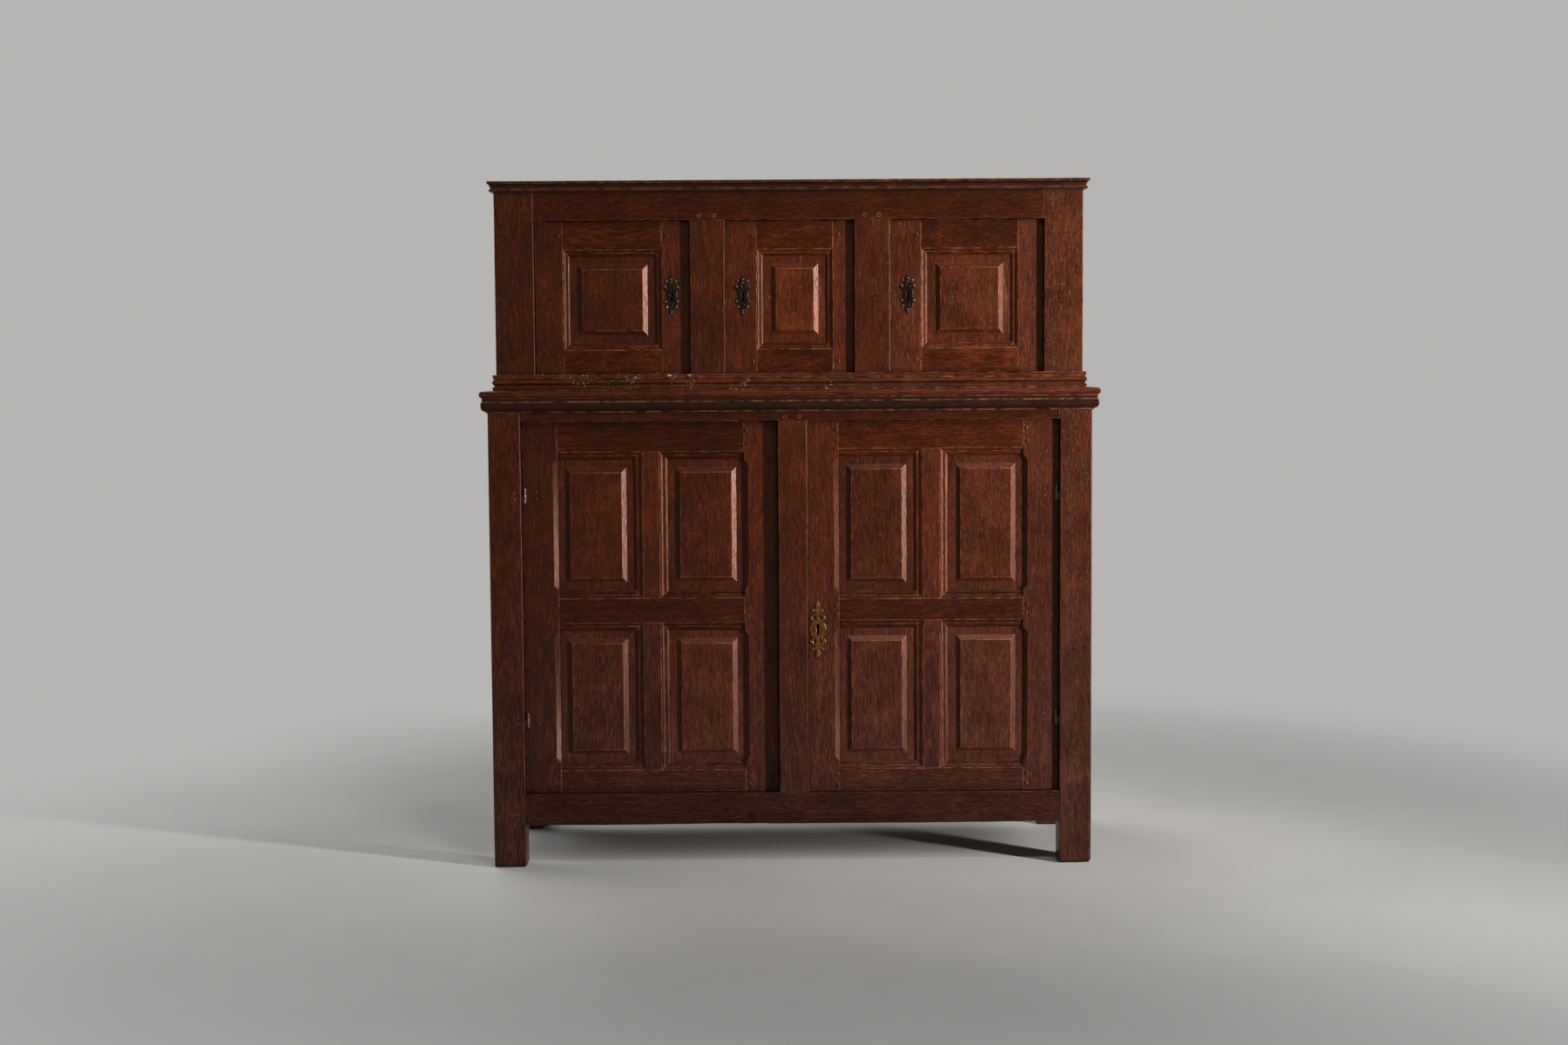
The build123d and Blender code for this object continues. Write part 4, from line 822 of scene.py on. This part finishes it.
C, R = True, False  # a corner or a rounded point of an outline, in (x, z) millimetres
LARGE_HALF = [
    (0, 71, C), (4.6, 62, R), (5.6, 56, R), (2.4, 51, C), (5, 50.5, R), (10.5, 50, R),
    (16.5, 46.5, C), (13, 43.5, R), (7.5, 42, R), (4.4, 40, C), (9, 38.5, R), (15.5, 35, R),
    (19, 29, R), (16.5, 23, R), (11.5, 20.6, C), (16.5, 14.5, R), (19.6, 6, R), (19.9, -3, R),
    (17.4, -12, R), (11.5, -19.4, C), (16.5, -22, R), (19, -28, R), (15.5, -34, R), (9, -37.6, R),
    (4.4, -39, C), (7.5, -41, R), (13, -42.5, R), (16.5, -46, C), (10.5, -49, R), (5, -49.6, R),
    (2.4, -50.4, C), (5.6, -56, R), (4.6, -62.5, R), (0, -71, C),
]
LARGE_HOLES = [oval(side * 7.2, z, 3.4, 5.4) for side in (-1, 1) for z in (28.5, -27.8)]
LARGE_HOLES.append(keyhole(8.5, 4.6, 2.8, -11.8))
LARGE_STUDS = [(0, 45, 1.8), (0, -44.5, 1.8), (0, 60, 2.4), (0, -60, 2.4)] + [
    (side * x, z, 2.4)
    for side in (-1, 1)
    for x, z in ((11.5, 47), (15, 29), (15, -28), (11.5, -46))
]
SMALL_HALF = [
    (0, 50, C), (4.4, 43, R), (5.2, 38.5, R), (3.2, 34.6, C), (8.5, 38.8, R), (14, 39.8, C),
    (11.5, 34, R), (6.5, 30, C), (11, 28.5, R), (17, 24, R), (18.6, 19, R), (15, 15.6, R),
    (11.6, 13, C), (12, 4, R), (11.4, -4.5, C), (16.5, -7.5, R), (17, -13, R), (12.5, -16, C),
    (13.4, -21, R), (11, -26.5, R), (5.2, -29, C), (6, -33.5, R), (4.2, -38, R), (0, -45, C),
]
SMALL_HOLES = [
    oval(0, 24, 2.0, 3.2), oval(9.4, 21.5, 2.6, 3.2), oval(-9.4, 21.5, 2.6, 3.2),
    oval(6.4, -21, 2.2, 2.9), oval(-6.4, -21, 2.2, 2.9), keyhole(6.5, 3.4, 2.2, -11.5),
]
SMALL_STUDS = [(0, 33, 1.7), (0, -32, 1.7), (0, 41, 2.2), (0, -38, 2.2)] + [
    (side * x, z, 2.2)
    for side in (-1, 1)
    for x, z in ((11.5, 36.5), (14.5, 24), (14, -10.5), (11.5, -24))
]
PLATE_THICK = 2.4 * MM
PLATE_ROUND = 1.1 * MM


def lock_plate(door, half, holes, studs, finish, boss):
    """Cast pierced plate with round rims, fixed with small pins, and with bosses on its lobes.
    studs holds (x, z, radius) of each pin or boss, and boss is their finish."""
    material, slot = finish
    low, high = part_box(door + "_escutcheon")
    centre = ((low.x + high.x) / 2, high.y, (low.z + high.z) / 2)
    curve = bpy.data.curves.new(door + "_plate", "CURVE")
    curve.dimensions = "2D"
    curve.fill_mode = "BOTH"
    curve.extrude = PLATE_THICK / 2 - PLATE_ROUND
    curve.bevel_depth = PLATE_ROUND
    curve.bevel_resolution = 2
    curve.offset = -PLATE_ROUND
    closed_spline(curve, mirrored(half))
    for hole in holes:
        closed_spline(curve, hole)
    shape = bpy.data.objects.new("shape", curve)
    link(shape)
    bpy.context.view_layer.update()
    evaluated = shape.evaluated_get(bpy.context.evaluated_depsgraph_get())
    mesh = bpy.data.meshes.new_from_object(evaluated)
    bpy.data.objects.remove(shape)
    mesh.materials.clear()
    mesh.materials.append(material)
    mesh.transform(turned((centre[0], centre[1] - PLATE_THICK / 2, centre[2]), FRONT))
    plate = bpy.data.objects.new(door + "_plate", mesh)
    link(plate)
    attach(plate, door)
    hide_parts(door + "_escutcheon")
    face = centre[1] - PLATE_THICK
    for size in sorted({stud[2] for stud in studs}):
        places = [
            ((centre[0] + x * MM, face, centre[2] + z * MM), FRONT)
            for x, z, radius in studs
            if radius == size
        ]
        name = f"{door}_plate_studs_{size}"
        heads(name, places, boss, door, size * MM, size * BOSS_RISE * MM, BOSS_SIDES)


for door in LOCKED:
    if door.startswith("lower"):
        lock_plate(door, LARGE_HALF, LARGE_HOLES, LARGE_STUDS, BRASS, BRASS)
    else:
        lock_plate(door, SMALL_HALF, SMALL_HOLES, SMALL_STUDS, BRONZE, STUD)


# ---------------------------------------------------------------- floor and light
BACKGROUND = rgb(182, 181, 179)
SHOWN_TO = ("Is Camera Ray", "Is Glossy Ray", "Is Transmission Ray")
WORLD_STRENGTH = 0.04
FLOOR_REACH = 60.0
FADE_START, FADE_END = 0.95, 2.9  # metres from the object's middle


def floor_material():
    """Pale floor that fades into the background away from the object."""
    s = Shader("pale_floor")
    where = s.where()
    cloud = s.noise(where, 1.3, 5.0, 0.6)
    s.finish(
        Base_Color=s.mix(s.step(cloud, 0.3, 0.7), rgb(200, 198, 195), rgb(208, 206, 203)),
        Roughness=0.8,
        Specular_IOR_Level=0.2,
    )
    shown = s.node("ShaderNodeEmission", {0: BACKGROUND})
    far = s.step(s.vector("LENGTH", where), FADE_START, FADE_END)
    ray = s.node("ShaderNodeLightPath")
    seen = s.total(*(ray.outputs[kind] for kind in SHOWN_TO))
    faded = {0: s.math("MULTIPLY", far, seen), 1: s.bsdf.outputs[0], 2: shown.outputs[0]}
    blend = s.node("ShaderNodeMixShader", faded)
    s.tree.links.new(blend.outputs[0], s.tree.nodes["Material Output"].inputs["Surface"])
    return s.material


def floor():
    signs = ((-1, -1), (1, -1), (1, 1), (-1, 1))
    corners = [(x * FLOOR_REACH, y * FLOOR_REACH, 0) for x, y in signs]
    mesh = bpy.data.meshes.new("floor")
    mesh.from_pydata(corners, [], [(0, 1, 2, 3)])
    mesh.materials.append(floor_material())
    plane = bpy.data.objects.new("floor", mesh)
    link(plane)


def lamp(name, place, target, wide, high, power, spread=180):
    """A flat lamp that looks at target, with its power in watts and its spread in degrees."""
    data = bpy.data.lights.new(name, "AREA")
    data.shape = "RECTANGLE"
    data.size = wide
    data.size_y = high
    data.energy = power
    data.spread = math.radians(spread)
    light = bpy.data.objects.new(name, data)
    light.location = place
    light.rotation_euler = (Vector(target) - Vector(place)).to_track_quat("-Z", "Y").to_euler()
    light.visible_camera = False
    link(light)


def world_light():
    """Even pale light, with the background's own colour where the camera or a gloss sees it."""
    world = bpy.data.worlds.new("studio")
    world.use_nodes = True
    tree = world.node_tree
    light = tree.nodes["Background"]
    light.inputs[0].default_value = (1.0, 1.0, 1.0, 1.0)
    light.inputs[1].default_value = WORLD_STRENGTH
    seen = tree.nodes.new("ShaderNodeBackground")
    seen.inputs[0].default_value = BACKGROUND
    ray = tree.nodes.new("ShaderNodeLightPath")
    mix = tree.nodes.new("ShaderNodeMixShader")
    share = mix.inputs[0]
    for kind in SHOWN_TO:
        either = tree.nodes.new("ShaderNodeMath")
        either.operation = "ADD"
        either.inputs[1].default_value = 0.0
        tree.links.new(ray.outputs[kind], either.inputs[0])
        tree.links.new(either.outputs[0], share)
        share = either.inputs[1]
    tree.links.new(light.outputs[0], mix.inputs[1])
    tree.links.new(seen.outputs[0], mix.inputs[2])
    tree.links.new(mix.outputs[0], tree.nodes["World Output"].inputs["Surface"])
    bpy.context.scene.world = world


floor()
world_light()
lamp("key", (3.0, -2.05, 1.5), (0.8, -0.2, 1.3), 0.2, 2.5, 54.0, 72)
lamp("top", (0.9, -3.0, 4.3), (0, -0.2, 1.0), 1.0, 0.2, 36.0)
lamp("fill", (-4.4, 2.0, 2.0), (0, 0, 0.8), 2.4, 2.0, 75.0)
lamp("rear", (-2.6, 4.0, 4.2), (0, 0, 0.8), 3.2, 2.4, 95.0)
bpy.context.scene.view_settings.view_transform = "Standard"
